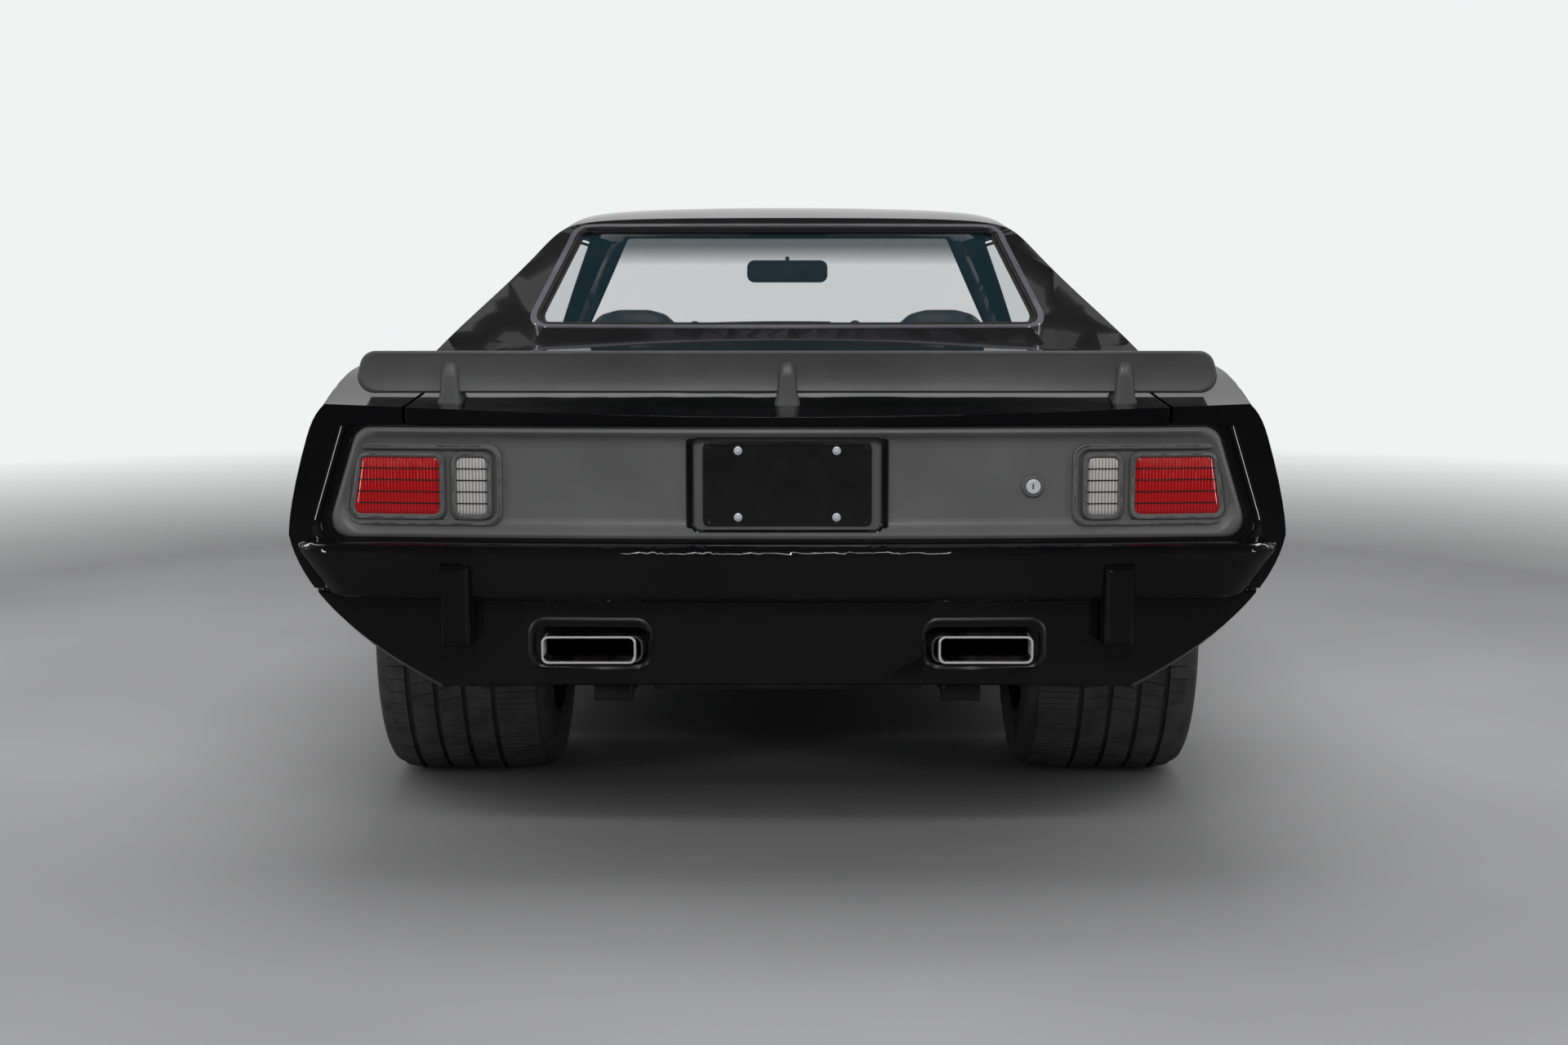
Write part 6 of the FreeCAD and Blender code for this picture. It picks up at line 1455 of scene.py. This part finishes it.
# A dark panel behind the slats: painted shade for the inside of the nose.
painted_shade_panel = bmesh.new()
add_bar(painted_shade_panel, -SLOT_HALF - 0.02, SLOT_HALF + 0.02, 16,
        lambda x: nose_y(max(-SLOT_HALF, min(SLOT_HALF, x))) + 0.050,
        [(0, SLOT_LOW - 0.02), (0, SLOT_HIGH + 0.02), (0.004, SLOT_HIGH + 0.02), (0.004, SLOT_LOW - 0.02)])
piece_of(painted_shade_panel, "air_slot_painted_shade_panel", undercoat, "root", "underbody")
print("faces on the slats in the air slot:", len(slats.polygons))

# %% [markdown]
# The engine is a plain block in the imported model. With the hood up one sees its top, so it gets a round
# air cleaner, two ribbed covers and a radiator with a cap. The ribs are one bar, repeated by the tree.

# %% Engine top
ENGINE_TOP = 0.762
COVER_X = 0.19
cleaner = bmesh.new()
add_lathe(cleaner, [(0.060, 0.0), (0.060, 0.010), (0.150, 0.014), (0.158, 0.018), (0.158, 0.050), (0.162, 0.053),
                    (0.160, 0.058), (0.120, 0.063), (0.030, 0.066), (0.012, 0.066), (0.012, 0.072), (0.004, 0.074)],
          (0, -1.16, ENGINE_TOP - 0.001), Z_AXIS, 56)
piece_of(cleaner, "air_cleaner", chrome, "root", "engine_paint")


def rocker_cover(name, sign):
    """A cover in plan, built up of rounded outlines, with a row of ribs on its top."""
    x = sign * COVER_X
    levels = ((-0.006, -0.0005, 0.02), (-0.006, 0.005, 0.02), (0.002, 0.007, 0.018), (0.006, 0.026, 0.018),
              (0.014, 0.034, 0.014))
    rings = [[Vector((p.x, p.y, ENGINE_TOP + up))
              for p in rounded_ring(box_outline(0.055, -1.50, -0.99, x), inset, radius, 5, 6)]
             for inset, up, radius in levels]
    rib = bmesh.new()
    add_strip(rib, [Vector((x + side * 0.034, -1.45, ENGINE_TOP + 0.034)) for side in (-1, 1)], Z_AXIS,
              [(-0.006, -0.002), (-0.0035, 0.004), (0.0035, 0.004), (0.006, -0.002)])
    ribs = grow("ribs", mesh_of(rib, "rib"), LINE_TREE, Count=11, Step=(0, 0.041, 0), Material=block_paint)
    cover = bmesh.new()
    cover.from_mesh(join_rings(rings, "base", arc=5, run=6))
    cover.from_mesh(ribs)
    return piece_of(cover, name, block_paint, "root", "engine_paint")


both_sides(rocker_cover, "rocker_cover")
print("engine top dressed, cleaner reaches", round(ENGINE_TOP + 0.073, 3))

# %% [markdown]
# The small fittings come last: flush door pulls, rubber round the side glass, and wipers. Each starts from
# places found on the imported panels, so that it sits on them.

# %% Door pulls
PULL_FROM, PULL_STEP, PULL_Z = 0.270, 0.0145, 0.790


def door_pull(name, sign):
    """A low bowed bar on the door's skin, and a lock below it."""
    node = "door_%s" % ("left" if sign > 0 else "right")
    pull = bmesh.new()
    points = []
    for k in range(11):
        y = PULL_FROM + PULL_STEP * k
        met = on_skin(node, (sign * 1.2, y, PULL_Z), (-sign, 0, 0))
        swell = 0.0030 + 0.0030 * math.sin(math.pi * k / 10)
        points.append(Vector((met.x + sign * (swell - 0.002), y, PULL_Z)))
    add_strip(pull, points, (sign, 0, 0), [(-0.011, -0.004), (-0.011, 0.001), (-0.008, 0.003), (0.008, 0.003),
                                           (0.011, 0.001), (0.011, -0.004)])
    met = on_skin(node, (sign * 1.2, 0.350, 0.755), (-sign, 0, 0))
    add_lathe(pull, [(0.011, -0.003), (0.011, 0.001), (0.009, 0.0022), (0.003, 0.0024)], met, (sign, 0, 0), 24)
    return piece_of(pull, name, chrome, node, "rim", 30)


both_sides(door_pull, "door_pull")
print("door pulls are", round(10 * PULL_STEP, 3), "m long")

# %% [markdown]
# The side glass has a thin rubber edge all round, laid along its own rim like the gaskets before.


# %% Side glass edges
def add_edge(bm, node, sign, step, section):
    """Rubber along the rim of a side glass."""
    add_strip(bm, even_points(rim_of(node, (sign, 0, 0.3)), step), (sign, 0, 0.4), section, True)


DOOR_EDGE = [(-0.0065, -0.0005), (-0.0055, 0.0020), (-0.0010, 0.0024), (0.0015, 0.0008), (0.0015, -0.0030)]
QUARTER_EDGE = [(-0.0065, -0.0005), (-0.0055, 0.0022), (-0.0010, 0.0026), (0.0030, 0.0016), (0.0030, -0.0025)]
for hand, sign in (("left", 1), ("right", -1)):
    node = "door_glass_" + hand
    edge = bmesh.new()
    add_edge(edge, node, sign, 0.015, DOOR_EDGE)
    piece_of(edge, node + "_edge", seal, body_of(node), "satin_black")
edge = bmesh.new()
for sign in (1, -1):
    add_edge(edge, "quarter_windows", sign, 0.012, QUARTER_EDGE)
quarter_edges = piece_of(edge, "quarter_window_edges", seal, "root", "satin_black")
print("faces on the quarter windows' edges:", len(quarter_edges.data.polygons))

# %% [markdown]
# The wipers lie on the windshield: their path is nine points dropped on the glass, or on the cowl.


# %% Wipers
def wiper(name, sign):
    """An arm, a blade beside it and a turned foot."""
    foot = (0.30 if sign > 0 else -0.22, -0.905)
    tip = (foot[0] - 0.44, -0.880)
    points = []
    for k in range(9):
        x = foot[0] + (tip[0] - foot[0]) * k / 8
        y = foot[1] + (tip[1] - foot[1]) * k / 8
        met = on_skin("windshield", (x, y, 1.6), (0, 0, -1)) or on_skin("cowl", (x, y, 1.6), (0, 0, -1))
        points.append(Vector((x, y, (met.z if met else 0.93) + 0.016)))
    arm = bmesh.new()
    add_strip(arm, points, Z_AXIS, [(-0.005, -0.002), (-0.004, 0.003), (0.004, 0.003), (0.005, -0.002)])
    blade = [Vector((p.x, p.y - 0.012, p.z - 0.006)) for p in points[2:]]
    add_strip(arm, blade, Z_AXIS, [(-0.003, -0.006), (-0.002, 0.003), (0.002, 0.003), (0.003, -0.006)])
    add_lathe(arm, [(0.016, -0.030), (0.016, 0.0), (0.012, 0.006), (0.004, 0.009)], points[0], Z_AXIS, 24)
    return piece_of(arm, name, seal, "root", "satin_black", 30)


wipers = both_sides(wiper, "wiper")
print("faces on a wiper:", len(wipers[0].data.polygons))

# %% [markdown]
# Inside, the dashboard carries round dials with bright rings. Through the rear window they are small, but
# an open door shows them. The dials are turned parts in a row.

# %% Dials
DIALS = ((0.30, 0.775, 0.036), (0.40, 0.780, 0.046), (0.50, 0.775, 0.036), (0.18, 0.765, 0.024),
         (0.10, 0.765, 0.024))
dash_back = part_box("dashboard")[1].y
rings = bmesh.new()
plates = bmesh.new()
for x, z, r in DIALS:
    at = on_skin("dashboard", (x, 0.5, z), (0, -1, 0)) or Vector((x, dash_back, z))
    add_lathe(rings, [(r, -0.004), (r, 0.006), (r - 0.002, 0.009), (r - 0.005, 0.008), (r - 0.006, 0.002),
                      (r - 0.006, -0.004)], at, Y_AXIS, 32, True)
    add_lathe(plates, [(r - 0.0055, -0.003), (r - 0.0055, 0.002), (r * 0.5, 0.0024), (0.004, 0.0026),
                       (0.003, 0.006), (0.001, 0.0062)], at, Y_AXIS, 32)
piece_of(rings, "dial_rings", chrome, "root", "cabin_plastic")
piece_of(plates, "dial_faces", plate_finish, "root", "cabin_plastic")
print("dials:", len(DIALS))
